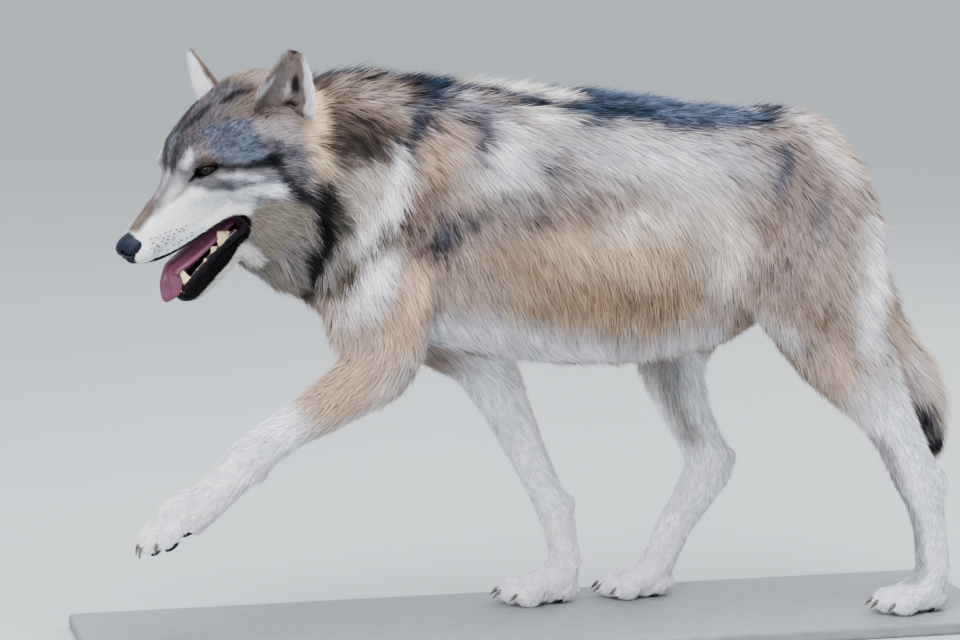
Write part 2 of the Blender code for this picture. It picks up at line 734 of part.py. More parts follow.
def claws_mesh(name, frame, size):
    shape = bmesh.new()
    add_claws(shape, frame, size)
    return mesh_from(name, shape)


def largest_body(mesh):
    """Drops loose slivers and keeps the biggest body of a mesh."""
    shape = bmesh.new()
    shape.from_mesh(mesh)
    left = set(shape.verts)
    bodies = []
    while left:
        found = [left.pop()]
        body = set(found)
        while found:
            for edge in found.pop().link_edges:
                for vertex in edge.verts:
                    if vertex not in body:
                        body.add(vertex)
                        left.discard(vertex)
                        found.append(vertex)
        bodies.append(body)
    bodies.sort(key=len)
    for body in bodies[:-1]:
        bmesh.ops.delete(shape, geom=list(body), context="VERTS")
    shape.to_mesh(mesh)
    shape.free()
    return mesh


def main():
    for thing in list(bpy.data.objects):
        bpy.data.objects.remove(thing)
    wolf = bpy.data.collections.new("grey_wolf")
    cutters = bpy.data.collections.new("cutters")
    for made in (wolf, cutters):
        bpy.context.scene.collection.children.link(made)

    base = bmesh.new()
    size = Matrix.Diagonal((BASE_LENGTH, BASE_WIDTH, BASE_THICKNESS, 1))
    bmesh.ops.create_cube(base, size=1, matrix=Matrix.Translation((0, 0, BASE_THICKNESS / 2)) @ size)
    plate = add_object("stand_base", mesh_from("stand_base", base), "stand_grey", wolf)
    edge = plate.modifiers.new("soft_edge", "BEVEL")
    edge.width = BASE_EDGE
    edge.segments = 2

    # The organs that sit in the flesh
    nose = shaped("nose", nose_mesh(), "DIFFERENCE", [cutter("nostrils", nostril_mesh(), cutters)])
    add_object("nose", nose, "nose_leather", wolf)
    nose_cut = grown_copy("nose_cut", nose_mesh(), GAP, cutters)
    sides = (("left", LEFT), ("right", RIGHT))
    face_cuts = [nose_cut]
    for word, side in sides:
        add_object("eye_" + word, eye_mesh("eye_" + word, side), "eye_amber", wolf)
        face_cuts.append(grown_copy("eye_cut_" + word, eye_mesh("eye_cut", side), GAP, cutters))
        face_cuts.append(cutter("lids_cut_" + word, eye_opening_mesh(side), cutters))
    face_cuts.append(cutter("palate_cut", mouth_mesh(), cutters))
    face_cuts.append(cutter("mouth_floor_cut", mouth_floor_mesh(), cutters))
    floor_box = (Matrix(), (-1, -1, -0.2), (1, 1, BASE_THICKNESS + GAP))
    face_cuts.append(cutter("floor_cut", box_mesh("floor_cut", floor_box), cutters))

    shares = ((in_head, HEAD_TRIANGLES), (in_paw, PAW_TRIANGLES), (in_body, BODY_TRIANGLES))
    flesh = fused("flesh", flesh_cage(), FUSE_VOXEL, 9, shares)
    rest = shaped("flesh", flesh, "DIFFERENCE", face_cuts)

    # The named pieces, cut out one after the other
    pieces = {}
    for name, region in REGIONS.items():
        inside = cutter(name + "_region", box_mesh(name, region), cutters)
        around = cutter(name + "_gap", box_mesh(name, region, GAP), cutters)
        pieces[name] = shaped(name, rest.copy(), "INTERSECT", [inside])
        rest = shaped("trunk", rest, "DIFFERENCE", [around])
    pieces["trunk"] = rest

    upper = cutter("upper_teeth", teeth_mesh("upper", UPPER_TEETH, UPPER_GUM, HEAD, -1), cutters)
    lower = cutter("lower_teeth", teeth_mesh("lower", LOWER_TEETH, LOWER_GUM, JAW, 1), cutters)
    pieces["head"] = shaped("head", pieces["head"], "UNION", [upper])
    pieces["jaw"] = shaped("jaw", pieces["jaw"], "UNION", [lower])
    for name, (frame, scale) in PAWS.items():
        claws = cutter(name + "_claws", claws_mesh(name, frame, scale), cutters)
        pieces[name] = shaped(name, pieces[name], "UNION", [claws])

    for name, mesh in pieces.items():
        pale = name in ("jaw",) or "leg" in name
        add_object(name, largest_body(mesh), "coat_pale" if pale else "coat_grey", wolf)

    head_cut = grown_copy("head_cut", pieces["head"].copy(), GAP, cutters)
    neck_cut = grown_copy("neck_cut", pieces["neck"].copy(), GAP, cutters)
    for word, side in sides:
        ear = shaped("ear_" + word, ear_mesh("ear_" + word, side), "DIFFERENCE", [head_cut, neck_cut])
        add_object("ear_" + word, largest_body(ear), "coat_dark", wolf)
    mouth_cuts = [
        grown_copy(word + "_mouth_cut", pieces[word].copy(), 2 * GAP, cutters) for word in ("head", "jaw", "neck")
    ]
    tongue = shaped("tongue", tongue_mesh(), "DIFFERENCE", mouth_cuts)
    add_object("tongue", largest_body(tongue), "tongue_pink", wolf)


main()
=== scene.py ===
import itertools
import math

import bmesh
import bpy
import numpy as np
from mathutils import Euler, Matrix, Vector
from mathutils.bvhtree import BVHTree
from mathutils.kdtree import KDTree


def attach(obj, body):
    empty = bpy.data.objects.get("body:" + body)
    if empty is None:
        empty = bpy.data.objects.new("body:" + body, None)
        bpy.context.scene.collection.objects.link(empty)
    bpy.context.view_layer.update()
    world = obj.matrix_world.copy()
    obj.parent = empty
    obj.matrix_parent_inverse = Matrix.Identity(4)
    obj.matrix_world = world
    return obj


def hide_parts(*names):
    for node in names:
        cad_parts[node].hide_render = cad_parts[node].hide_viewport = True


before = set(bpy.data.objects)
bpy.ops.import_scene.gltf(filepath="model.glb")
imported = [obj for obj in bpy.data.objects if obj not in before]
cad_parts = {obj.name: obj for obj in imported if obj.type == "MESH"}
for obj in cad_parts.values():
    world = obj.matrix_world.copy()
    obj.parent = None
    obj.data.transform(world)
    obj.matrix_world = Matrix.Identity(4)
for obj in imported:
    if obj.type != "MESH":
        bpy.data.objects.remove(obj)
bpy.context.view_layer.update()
scene = bpy.context.scene
mm = 0.001
left, right = -1, 1


# The head's frame has its origin at the nose tip: x back, y to the wolf's right, z up.
# The jaw's frame has its origin at the jaw joint.
headPlace = {
    "noseTip": (-0.583, -0.1, 0.561), "turn": 21, "dip": 28, "jawJoint": (0.205, 0, -0.02), "jawOpen": 17,
}
headTurn = Euler((0, -math.radians(headPlace["dip"]), math.radians(headPlace["turn"])), "XYZ")
head = Matrix.Translation(headPlace["noseTip"]) @ headTurn.to_matrix().to_4x4()
jawTurn = Matrix.Rotation(-math.radians(headPlace["jawOpen"]), 4, "Y")
jaw = head @ Matrix.Translation(headPlace["jawJoint"]) @ jawTurn
world = Matrix()


def metres(value):
    # a length in millimetres, or nested rows of them, in metres
    if isinstance(value, tuple):
        return tuple(metres(part) for part in value)
    return round(value * mm, 7)


def moved(points, matrix):
    # points after a matrix, as an array
    m = np.array(matrix)
    return np.asarray(points, float) @ m[:3, :3].T + m[:3, 3]


def turned(vectors, matrix):
    return np.asarray(vectors, float) @ np.array(matrix.to_3x3()).T


def unit(vectors):
    return vectors / np.maximum(np.linalg.norm(vectors, axis=-1, keepdims=True), 1e-9)


def softStep(value, low=0.0, high=1.0):
    share = np.clip((value - low) / (high - low), 0, 1)
    return share * share * (3 - 2 * share)


patchForm = {
    "offset": 31.7, "primes": (73856093, 19349663, 83492791), "seedStep": 2971, "seedStart": 11,
    "scramble": 1274126177, "wordBits": 0x7FFFFFFF, "valueBits": 0xFFFF,
}


def patchy(points, size, seed=0):
    # smooth random values from -1 to 1 that change over about one size
    grid = points / size + patchForm["offset"]
    cell = np.floor(grid).astype(np.int64)
    part = grid - cell
    part = part * part * (3 - 2 * part)
    total = np.zeros(len(points))
    for corner in range(8):
        step = np.array([corner & 1, corner >> 1 & 1, corner >> 2 & 1])
        key = (cell + step) * np.array(patchForm["primes"])
        start = seed * patchForm["seedStep"] + patchForm["seedStart"]
        mixed = (key[:, 0] ^ key[:, 1] ^ key[:, 2] ^ start) & patchForm["wordBits"]
        mixed = ((mixed ^ (mixed >> 13)) * patchForm["scramble"]) & patchForm["wordBits"]
        mixed = (mixed ^ (mixed >> 16)) & patchForm["valueBits"]
        total += np.prod(np.where(step, part, 1 - part), axis=1) * (mixed / (patchForm["valueBits"] / 2) - 1)
    return total


def patchyVectors(points, size, seed):
    return np.column_stack([patchy(points, size, seed + axis) for axis in range(3)])


def smoothBetween(a, b, c, d, share):
    # from b to c, leaving and arriving in the direction of their neighbours
    bend = (2 * a - 5 * b + 4 * c - d) * share**2 + (3 * b - a - 3 * c + d) * share**3
    return 0.5 * (2 * b + (c - a) * share + bend)


def refine(rows, steps):
    # rows of numbers with smooth steps added between them
    rows = np.array(rows, float)
    padded = np.concatenate([rows[:1], rows, rows[-1:]])
    fine = []
    for i in range(len(rows) - 1):
        fine += [smoothBetween(*padded[i:i + 4], step / steps) for step in range(steps)]
    return np.array([*fine, rows[-1]])


def bridge(shape, rings):
    # four-sided faces between each ring of points and the next
    for first, second in zip(rings, rings[1:]):
        for side in range(len(first)):
            after = (side + 1) % len(first)
            shape.faces.new((first[side], first[after], second[after], second[side]))


def addLoft(shape, rows, matrix, sides=36, steps=6):
    # a closed tube through rows of x, y, z, radius up, radius across, squareness
    fine = refine(rows, steps)
    centres = [Vector(row[:3]) for row in fine]
    rings = []
    for i, row in enumerate(fine):
        along = (centres[min(i + 1, len(fine) - 1)] - centres[max(i - 1, 0)]).normalized()
        across = Vector((0, 1, 0))
        across = (across - along * across.dot(along)).normalized()
        up = along.cross(across)
        ring = []
        for side in range(sides):
            c, s = math.cos(2 * math.pi * side / sides), math.sin(2 * math.pi * side / sides)
            c, s = (math.copysign(abs(v) ** (2 / row[5]), v) for v in (c, s))
            ring.append(shape.verts.new(matrix @ (centres[i] + up * (row[3] * c) + across * (row[4] * s))))
        rings.append(ring)
    bridge(shape, rings)
    for ring, end, inner in ((rings[0], 0, 1), (rings[-1], -1, -2)):
        outward = (centres[end] - centres[inner]).normalized()
        peak = shape.verts.new(matrix @ (centres[end] + outward * (0.5 * min(fine[end][3], fine[end][4]))))
        for side in range(sides):
            shape.faces.new((ring[side], ring[(side + 1) % sides], peak))


def levelRows(stations):
    # rows in metres from x, top, bottom and half width in millimetres, and squareness
    rows = []
    for *sizes, square in stations:
        x, top, low, wide = metres(tuple(sizes))
        rows.append((x, 0, (top + low) / 2, (top - low) / 2, wide, square))
    return rows


def addBall(shape, centre, radii, matrix=world, pitch=0, segments=32, rings=20):
    turn = Matrix.Rotation(math.radians(pitch), 4, "Y")
    where = matrix @ Matrix.Translation(centre) @ turn @ Matrix.Diagonal((*radii, 1))
    bmesh.ops.create_uvsphere(shape, u_segments=segments, v_segments=rings, radius=1, matrix=where)


def addPair(shape, centre, radii, matrix, *shares):
    # the same ball on the left and on the right
    x, y, z = centre
    for side in (left, right):
        addBall(shape, (x, side * y, z), radii, matrix, *shares)


bandForm = {"sides": 12, "steps": 5, "waves": (1.7, 0.6), "endSize": 0.45, "endGrowth": 0.2}


def addBand(shape, points, matrix, wide, tall, wave=0.0):
    # a rounded soft band along points given for one side and mirrored round the front
    half = refine(points, bandForm["steps"])
    centres = [Vector(point) for point in np.concatenate([half[::-1] * (1, -1, 1), half[1:]])]
    last = len(centres) - 1
    fast, slow = (np.sin(turn * np.arange(last + 1)) for turn in bandForm["waves"])
    thick = tall * (1 + wave * fast * slow)
    rings = []
    for i, centre in enumerate(centres):
        along = (centres[min(i + 1, last)] - centres[max(i - 1, 0)]).normalized()
        up = Vector((0, 0, 1))
        up = (up - along * up.dot(along)).normalized()
        across = up.cross(along)
        fade = min(1, bandForm["endSize"] + bandForm["endGrowth"] * min(i, last - i))
        ring = []
        for side in range(bandForm["sides"]):
            angle = 2 * math.pi * side / bandForm["sides"]
            out = up * (thick[i] * math.cos(angle)) + across * (wide * math.sin(angle))
            ring.append(shape.verts.new(matrix @ (centre + out * fade)))
        rings.append(ring)
    bridge(shape, rings)
    shape.faces.new(rings[0])
    shape.faces.new(list(reversed(rings[-1])))


def finished(name, shape):
    # the mesh of a bmesh, with its faces pointing out
    bmesh.ops.recalc_face_normals(shape, faces=shape.faces)
    mesh = bpy.data.meshes.new(name)
    shape.to_mesh(mesh)
    shape.free()
    return mesh


def worked(mesh, steps, groups={}):
    # the mesh after modifiers, each given as its type and settings; groups are named vertex weights
    work = bpy.data.objects.new("work", mesh)
    scene.collection.objects.link(work)
    for name, weights in groups.items():
        group = work.vertex_groups.new(name=name)
        for level in np.unique(np.round(weights, 1)):
            if level > 0:
                group.add(np.flatnonzero(np.round(weights, 1) == level).tolist(), float(level), "REPLACE")
    for kind, settings in steps:
        step = work.modifiers.new(kind, kind)
        for key, value in settings.items():
            setattr(step, key, value)
    bpy.context.view_layer.update()
    result = bpy.data.meshes.new_from_object(work.evaluated_get(bpy.context.evaluated_depsgraph_get()))
    bpy.data.objects.remove(work)
    return result


def fuse(voxel, smoothing):
    # one closed surface round all that the mesh holds, then smoothed
    smooth = {"factor": 0.5, "iterations": smoothing}
    return [("REMESH", {"mode": "VOXEL", "voxel_size": voxel}), ("SMOOTH", smooth)]


def fused(name, shape, voxel, smoothing):
    return worked(finished(name, shape), fuse(voxel, smoothing))


def vertexArray(mesh):
    values = np.zeros(len(mesh.vertices) * 3)
    mesh.vertices.foreach_get("co", values)
    return values.reshape(-1, 3)


def vertexNormals(mesh):
    values = np.zeros(len(mesh.vertices) * 3, np.float32)
    mesh.vertex_normals.foreach_get("vector", values)
    return values.reshape(-1, 3).astype(float)


def setColours(mesh, name, values):
    layer = mesh.attributes.new(name, "FLOAT_COLOR", "POINT")
    layer.data.foreach_set("color", values.astype(np.float32).ravel())


def setVertices(mesh, points):
    mesh.vertices.foreach_set("co", np.ascontiguousarray(points, np.float32).ravel())
    mesh.update()


def place(name, mesh, finish, replaced=(), smooth=True):
    # a shown piece that rides with the model
    piece = bpy.data.objects.new(name, mesh)
    scene.collection.objects.link(piece)
    mesh.materials.clear()
    mesh.materials.append(finish)
    mesh.polygons.foreach_set("use_smooth", np.full(len(mesh.polygons), smooth))
    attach(piece, "root")
    if replaced:
        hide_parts(*replaced)
    return piece


def joined(name, meshes):
    shape = bmesh.new()
    for mesh in meshes:
        shape.from_mesh(mesh)
    made = bpy.data.meshes.new(name)
    shape.to_mesh(made)
    shape.free()
    return made


class Wire:
    # a socket that plain arithmetic works on
    def __init__(self, finish, socket):
        self.finish, self.socket = finish, socket

    def sum(self, operation, first, second):
        return self.finish.node("ShaderNodeMath", {"operation": operation}, {0: first, 1: second})

    def __add__(self, other):
        return self.sum("ADD", self, other)

    def __radd__(self, other):
        return self.sum("ADD", other, self)

    def __sub__(self, other):
        return self.sum("SUBTRACT", self, other)

    def __mul__(self, other):
        return self.sum("MULTIPLY", self, other)

    def __rmul__(self, other):
        return self.sum("MULTIPLY", other, self)


class Finish:
    # one material and the ways its nodes are made
    def __init__(self, name, **constants):
        self.material = bpy.data.materials.new(name)
        self.material.use_nodes = True
        self.tree = self.material.node_tree
        self.shader = self.tree.nodes["Principled BSDF"]
        for key, value in constants.items():
            self.shader.inputs[key.replace("_", " ")].default_value = value

    def feed(self, socket, value):
        if isinstance(value, Wire):
            self.tree.links.new(value.socket, socket)
        elif hasattr(socket.default_value, "__len__") and len(socket.default_value) == 4 and len(value) == 3:
            socket.default_value = (*value, 1)
        else:
            socket.default_value = value

    def node(self, kind, settings={}, inputs={}, output=0):
        made = self.tree.nodes.new(kind)
        for key, value in settings.items():
            if key == "stops":
                ramp = made.color_ramp.elements
                while len(ramp) < len(value):
                    ramp.new(1)
                for element, (position, colour) in zip(ramp, value):
                    element.position, element.color = position, (*colour, 1)
            else:
                setattr(made, key, value)
        for key, value in inputs.items():
            self.feed(made.inputs[key], value)
        return Wire(self, made.outputs[output])

    def attribute(self, name, output="Color"):
        return self.node("ShaderNodeAttribute", {"attribute_name": name}, output=output)

    def parts(self, colour):
        split = self.tree.nodes.new("ShaderNodeSeparateColor")
        self.feed(split.inputs[0], colour)
        return [Wire(self, output) for output in split.outputs]

    def position(self, scale=(1, 1, 1)):
        where = self.node("ShaderNodeNewGeometry", output="Position")
        return self.node("ShaderNodeVectorMath", {"operation": "MULTIPLY"}, {0: where, 1: scale})

    def noise(self, scale, detail=3, where=None):
        inputs = {"Scale": scale, "Detail": detail, "Roughness": 0.55, "Vector": where or self.position()}
        return self.node("ShaderNodeTexNoise", {}, inputs)

    def cells(self, scale):
        inputs = {"Scale": scale, "Vector": self.position()}
        return self.node("ShaderNodeTexVoronoi", {"feature": "F1"}, inputs, "Distance")

    def mix(self, share, first, second, kind="MIX"):
        made = self.tree.nodes.new("ShaderNodeMix")
        made.data_type, made.blend_type = "RGBA", kind
        for index, value in ((0, share), (6, first), (7, second)):
            self.feed(made.inputs[index], value)
        return Wire(self, made.outputs[2])

    def range(self, value, low, high, newLow=0.0, newHigh=1.0):
        inputs = {0: value, 1: low, 2: high, 3: newLow, 4: newHigh}
        return self.node("ShaderNodeMapRange", {"interpolation_type": "SMOOTHSTEP"}, inputs)

    def ramp(self, value, stops):
        return self.node("ShaderNodeValToRGB", {"stops": stops}, {0: value})

    def bump(self, height, strength, distance):
        inputs = {"Height": height, "Strength": strength, "Distance": distance}
        return self.node("ShaderNodeBump", {}, inputs)

    def wear(self, **sockets):
        for key, value in sockets.items():
            self.feed(self.shader.inputs[key.replace("_", " ")], value)
        return self.material


def tone(red, green, blue):
    # a colour given in screen values, as the linear values that the nodes use
    shares = [value / 255 for value in (red, green, blue)]
    return tuple(v / 12.92 if v <= 0.0393 else ((v + 0.055) / 1.055) ** 2.4 for v in shares)


view = {
    "azimuth": -13, "elevation": 9, "distance": 5.0, "lens": 140, "sensor": 36, "target": (-0.08, 0, 0.429),
}
studio = {
    "floor": 30, "floorTones": (tone(172, 172, 170), tone(178, 178, 176)),
    "sky": (0.8, 0.9, 1.0), "skyPower": 1.42,
    "lamps": {  # place, aim, size, power, colour
        "overhead": ((-0.3, -0.8, 3.2), (0, 0, 0.5), 2.6, 250, (0.85, 0.92, 1.0)),
        "front": ((-2.6, -3.0, 2.0), (-0.1, 0, 0.45), 1.8, 146, (0.95, 0.97, 1.0)),
        "rear": ((2.4, 2.0, 2.2), (0, 0, 0.5), 1.6, 86, (0.95, 0.98, 1.0)),
    },
}


def buildStage():
    turn, rise = math.radians(view["azimuth"]), math.radians(view["elevation"])
    back = Vector((math.sin(turn) * math.cos(rise), -math.cos(turn) * math.cos(rise), math.sin(rise)))
    camera = bpy.data.objects.new("camera", bpy.data.cameras.new("camera"))
    scene.collection.objects.link(camera)
    camera.location = Vector(view["target"]) + back * view["distance"]
    camera.rotation_euler = (-back).to_track_quat("-Z", "Y").to_euler()
    camera.data.lens = view["lens"]
    camera.data.sensor_width = view["sensor"]
    scene.camera = camera

    shape = bmesh.new()
    bmesh.ops.create_grid(shape, x_segments=1, y_segments=1, size=studio["floor"])
    floor = bpy.data.objects.new("floor", finished("floor", shape))
    scene.collection.objects.link(floor)
    paint = Finish("floorPaint", Roughness=0.9)
    grain = paint.noise(6, 4)
    floor.data.materials.append(paint.wear(Base_Color=paint.mix(grain, *studio["floorTones"])))

    scene.world = bpy.data.worlds.new("studio")
    scene.world.use_nodes = True
    sky = scene.world.node_tree.nodes["Background"]
    sky.inputs["Color"].default_value = (*studio["sky"], 1)
    sky.inputs["Strength"].default_value = studio["skyPower"]
    for name, (spot, aim, size, power, colour) in studio["lamps"].items():
        lamp = bpy.data.lights.new(name, "AREA")
        lamp.size, lamp.energy, lamp.color = size, power, colour
        made = bpy.data.objects.new(name, lamp)
        made.location = spot
        made.rotation_euler = (Vector(aim) - Vector(spot)).to_track_quat("-Z", "Y").to_euler()
        scene.collection.objects.link(made)
    print("stage ready")


# The shapes of the skin, in metres where no note says otherwise; metres() takes millimetres.
headForm = {
    "snout": (
        (8, -7, -33, 13, 2.2), (22, 0, -38, 21, 2.3), (45, 7, -45, 28, 2.4), (75, 17, -47, 31.5, 2.5),
        (105, 29, -47, 36, 2.5), (135, 48, -47, 43, 2.3), (165, 66, -50, 48, 2.1),
    ),
    "skull": (
        (118, 40, -20, 34, 2.2), (138, 64, -35, 50, 2.2), (165, 83, -44, 62, 2.1), (200, 96, -62, 72, 2),
        (235, 100, -85, 78, 2), (270, 92, -85, 78, 2), (310, 65, -70, 70, 2),
    ),
    "mandible": (  # in the jaw's frame
        (-177, -29, -50, 14, 2), (-164, -26, -61, 21, 2.2), (-142, -26, -66, 23.5, 2.3),
        (-105, -28, -69, 27, 2.3), (-60, -33, -70, 35, 2.2), (-30, -36, -73, 43, 2), (5, -12, -74, 50, 2),
        (25, 0, -72, 50, 2),
    ),
    "neck": (  # in the model's frame: centre, radius up, radius across, squareness
        (-425, -40, 672, 66, 62, 2), (-385, -28, 652, 108, 86, 2), (-345, -18, 634, 138, 99, 2),
        (-300, -8, 620, 154, 105, 2), (-240, 0, 608, 158, 102, 2), (-180, 0, 595, 150, 90, 2),
    ),
    "masses": metres((  # centre and radii, on both sides
        ((208, 44, -10), (58, 36, 48)), ((245, 52, -20), (55, 40, 62)), ((144, 27, 45), (30, 18, 12)),
        ((135, 30, 4), (36, 13, 16)), ((35, 14, -26), (30, 14, 17)), ((208, 38, -54), (30, 18, 24)),
    )),
    "flews": metres((  # down the middle of each upper lip from the front to the mouth corner
        (22.5, 0, -31), (26, 10, -32), (34, 16.5, -34.5), (50, 22.5, -37), (75, 26.2, -38.5),
        (105, 29.2, -38.5), (135, 33.5, -38.8), (152, 41, -40.5), (163, 49, -45.5),
    )),
    "palate": (
        (32, -37, -100, 12, 2.4), (50, -37, -100, 18.5, 2.4), (90, -37, -90, 23, 2.4),
        (130, -37, -80, 28, 2.4), (176, -34, -56, 30, 2.4),
    ),
    "mouthFloor": (  # in the jaw's frame
        (-172, 30, -36, 9, 2.4), (-155, 30, -38, 15.5, 2.4), (-105, 25, -41, 19.5, 2.4),
        (-60, 10, -41, 25, 2.4), (-25, 0, -36, 29, 2.4),
    ),
    "flewSize": (0.0036, 0.0085), "voxel": 0.0022, "smoothing": 8, "openingVoxel": 0.0012,
}
eyeForm = {
    "centre": (0.147, 0.0375, 0.0265), "radius": 0.0125, "gaze": (-0.62, 0.72, 0.26),
    "across": (0.84, 0.54, -0.04), "halfLength": 60, "upper": 16, "lower": 18,
    "cut": (0.012, 0.0165, 0.0088), "cutDepth": 0.001, "socketGap": 0.0006,
    "corneaRise": 0.0016, "corneaFrom": 0.8, "corneaPower": 0.8,
}
lidForm = {  # profile: degrees out from the rim, height over the eyeball
    "steps": 72, "profile": ((0, 0.0005), (0, 0.0014), (4, 0.0021), (10, 0.0024), (18, 0.002), (26, 0.0012)),
    "squareness": 1.6, "upperSpread": 0.5, "upperRise": 1.3, "reach": 0.005, "tuck": 0.0012,
}
earForm = {
    "ear_left": ((0.25, 0.077, 0.042), (0.3, 0.099, 0.115), (-0.6, 0.77, 0.19)),
    "ear_right": ((0.233, 0.07, 0.06), (0.257, 0.097, 0.126), (-0.68, 0.68, 0.25)),
    "thickness": 0.0034, "columns": 22, "cupPower": 2.2, "tuck": 0.16, "tuckBelow": 0.16, "tuckFrom": -0.2,
    "rows": (  # share of the height, reach of the inner edge, of the outer edge, depth of the cup
        (-0.22, 0.032, 0.038, 0.026), (0.0, 0.035, 0.041, 0.027), (0.22, 0.034, 0.041, 0.023),
        (0.45, 0.029, 0.036, 0.018), (0.66, 0.022, 0.0285, 0.012), (0.82, 0.016, 0.0205, 0.007),
        (0.92, 0.011, 0.013, 0.004), (0.97, 0.007, 0.008, 0.002),
        (1.0, 0.001, 0.001, 0.0),
    ),
}
pawForm = {  # heel, pitch, yaw and size of each paw
    "foreleg_left": ((-0.484, -0.083, 0.184), 34, 3, 1.06),
    "foreleg_right": ((0.037, 0.08, 0.018), 0, -3, 1.06),
    "hindleg_left": ((0.52, -0.084, 0.018), 0, 2, 1.0),
    "hindleg_right": ((0.178, 0.088, 0.018), 0, -4, 1.0),
    "toes": metres((  # centre, radii
        ((-30, -26.5, 15), (21, 12.5, 16)), ((-47, -9.8, 17), (23, 12.5, 17.5)),
        ((-47, 9.8, 17), (23, 12.5, 17.5)), ((-30, 26.5, 15), (21, 12.5, 16)),
    )),
    "toePitch": -12,
    "palm": (  # centre, radii, pitch
        ((-0.006, 0, 0.024), (0.04, 0.029, 0.022), -8), ((0.012, 0, 0.018), (0.03, 0.026, 0.02), 0),
        ((-0.004, 0, 0.01), (0.024, 0.024, 0.012), 0),
    ),
}
earSides = (("ear_left", left), ("ear_right", right))
legNames = ("foreleg_left", "foreleg_right", "hindleg_left", "hindleg_right")
fleshNames = ("head", "jaw", "neck", "trunk", "tail", "ear_left", "ear_right", *legNames)


def sideHead(side):
    return head @ Matrix.Diagonal((1, side, 1, 1))


def pawPlace(name):
    heel, pitch, yaw, size = pawForm[name]
    turn = Euler((0, math.radians(-pitch), math.radians(yaw)), "XYZ").to_matrix().to_4x4()
    return Matrix.Translation(heel) @ turn @ Matrix.Scale(size, 4)


def cut(mesh, cutters):
    # the mesh less the others, one after the other
    for other in cutters:
        tool = bpy.data.objects.new("tool", other)
        scene.collection.objects.link(tool)
        mesh = worked(mesh, [("BOOLEAN", {"operation": "DIFFERENCE", "object": tool, "solver": "EXACT"})])
        bpy.data.objects.remove(tool)
    return mesh


def eyeAxes():
    # the way the left eye looks, along its slit, and across it
    gaze = Vector(eyeForm["gaze"]).normalized()
    across = Vector(eyeForm["across"])
    across = (across - gaze * across.dot(gaze)).normalized()
    up = gaze.cross(across)
    if up.z < 0:
        up = -up
    return gaze, across, up


def headCage():
    # the head and the front of the neck, hollowed at the mouth and the eyes
    shape = bmesh.new()
    addLoft(shape, levelRows(headForm["snout"]), head)
    addLoft(shape, levelRows(headForm["skull"]), head)
    addLoft(shape, levelRows(headForm["mandible"]), jaw)
    addLoft(shape, [(*metres(tuple(sizes)), square) for *sizes, square in headForm["neck"]], world)
    for centre, radii in headForm["masses"]:
        addPair(shape, centre, radii, head)
    solid = fused("headCage", shape, headForm["voxel"], headForm["smoothing"])
    cutters = []
    for rows, where in ((headForm["palate"], head), (headForm["mouthFloor"], jaw)):
        hollow = bmesh.new()
        addLoft(hollow, levelRows(rows), where, 24, 3)
        cutters.append(finished("hollow", hollow))
    gaze, across, up = eyeAxes()
    turn = Matrix((gaze, across, up)).transposed().to_4x4()
    for side in (left, right):
        opening = bmesh.new()
        spot = Vector(eyeForm["centre"]) + gaze * (eyeForm["radius"] - eyeForm["cutDepth"])
        where = sideHead(side) @ Matrix.Translation(spot) @ turn
        addBall(opening, (0, 0, 0), eyeForm["cut"], where, 0, 24, 14)
        socket = [eyeForm["radius"] + eyeForm["socketGap"]] * 3
        addBall(opening, eyeForm["centre"], socket, sideHead(side), 0, 24, 14)
        cutters.append(fused("opening", opening, headForm["openingVoxel"], 2))
    flews = bmesh.new()
    addBand(flews, headForm["flews"], head, *headForm["flewSize"])
    return joined("headCage", [cut(solid, cutters), finished("flews", flews)])


def bodyMeshes():
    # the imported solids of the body, welded and swollen a little so that their cuts close
    made = []
    for name in ("neck", "trunk", "tail", *legNames):
        shape = bmesh.new()
        shape.from_mesh(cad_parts[name].data)
        bmesh.ops.remove_doubles(shape, verts=shape.verts, dist=skinForm["weld"])
        mesh = finished(name, shape)
        made.append(worked(mesh, [("DISPLACE", {"strength": skinForm["swell"], "mid_level": 0})]))
    return made


def pawMesh():
    shape = bmesh.new()
    for name in legNames:
        where = pawPlace(name)
        for centre, radii in pawForm["toes"]:
            addBall(shape, centre, radii, where, pawForm["toePitch"])
        for centre, radii, pitch in pawForm["palm"]:
            addBall(shape, centre, radii, where, pitch)
    return finished("paws", shape)


def earSheet(name, side):
    # a cupped, pointed ear with a thin rim, open only at its buried foot
    foot, tip, facing = (Vector(v) for v in earForm[name])
    axis = (tip - foot).normalized()
    facing = (facing - axis * facing.dot(axis)).normalized()
    across = axis.cross(facing)
    if across.x < 0:
        across = -across
    shape = bmesh.new()
    grid = []
    for share, inner, outer, cup in refine(earForm["rows"], 4):
        line = []
        for column in range(earForm["columns"] + 1):
            t = 2 * column / earForm["columns"] - 1
            point = foot + axis * ((tip - foot).length * share) + across * (t * (outer if t > 0 else inner))
            point -= facing * (cup * (1 - abs(t) ** earForm["cupPower"]))
            tucked = earForm["tuck"] * max(0, earForm["tuckBelow"] - share)
            point -= facing * (tucked * max(0, t - earForm["tuckFrom"]))
            line.append(shape.verts.new(sideHead(side) @ point))
        grid.append(line)
    for low, high in zip(grid, grid[1:]):
        for a, b, c, d in zip(low, low[1:], high[1:], high):
            shape.faces.new((a, b, c, d))
    mesh = bpy.data.meshes.new(name)
    shape.to_mesh(mesh)
    shape.free()
    shell = {"thickness": earForm["thickness"], "offset": 0, "use_even_offset": False}
    return worked(mesh, [("SOLIDIFY", shell), ("SUBSURF", {"levels": 1})])


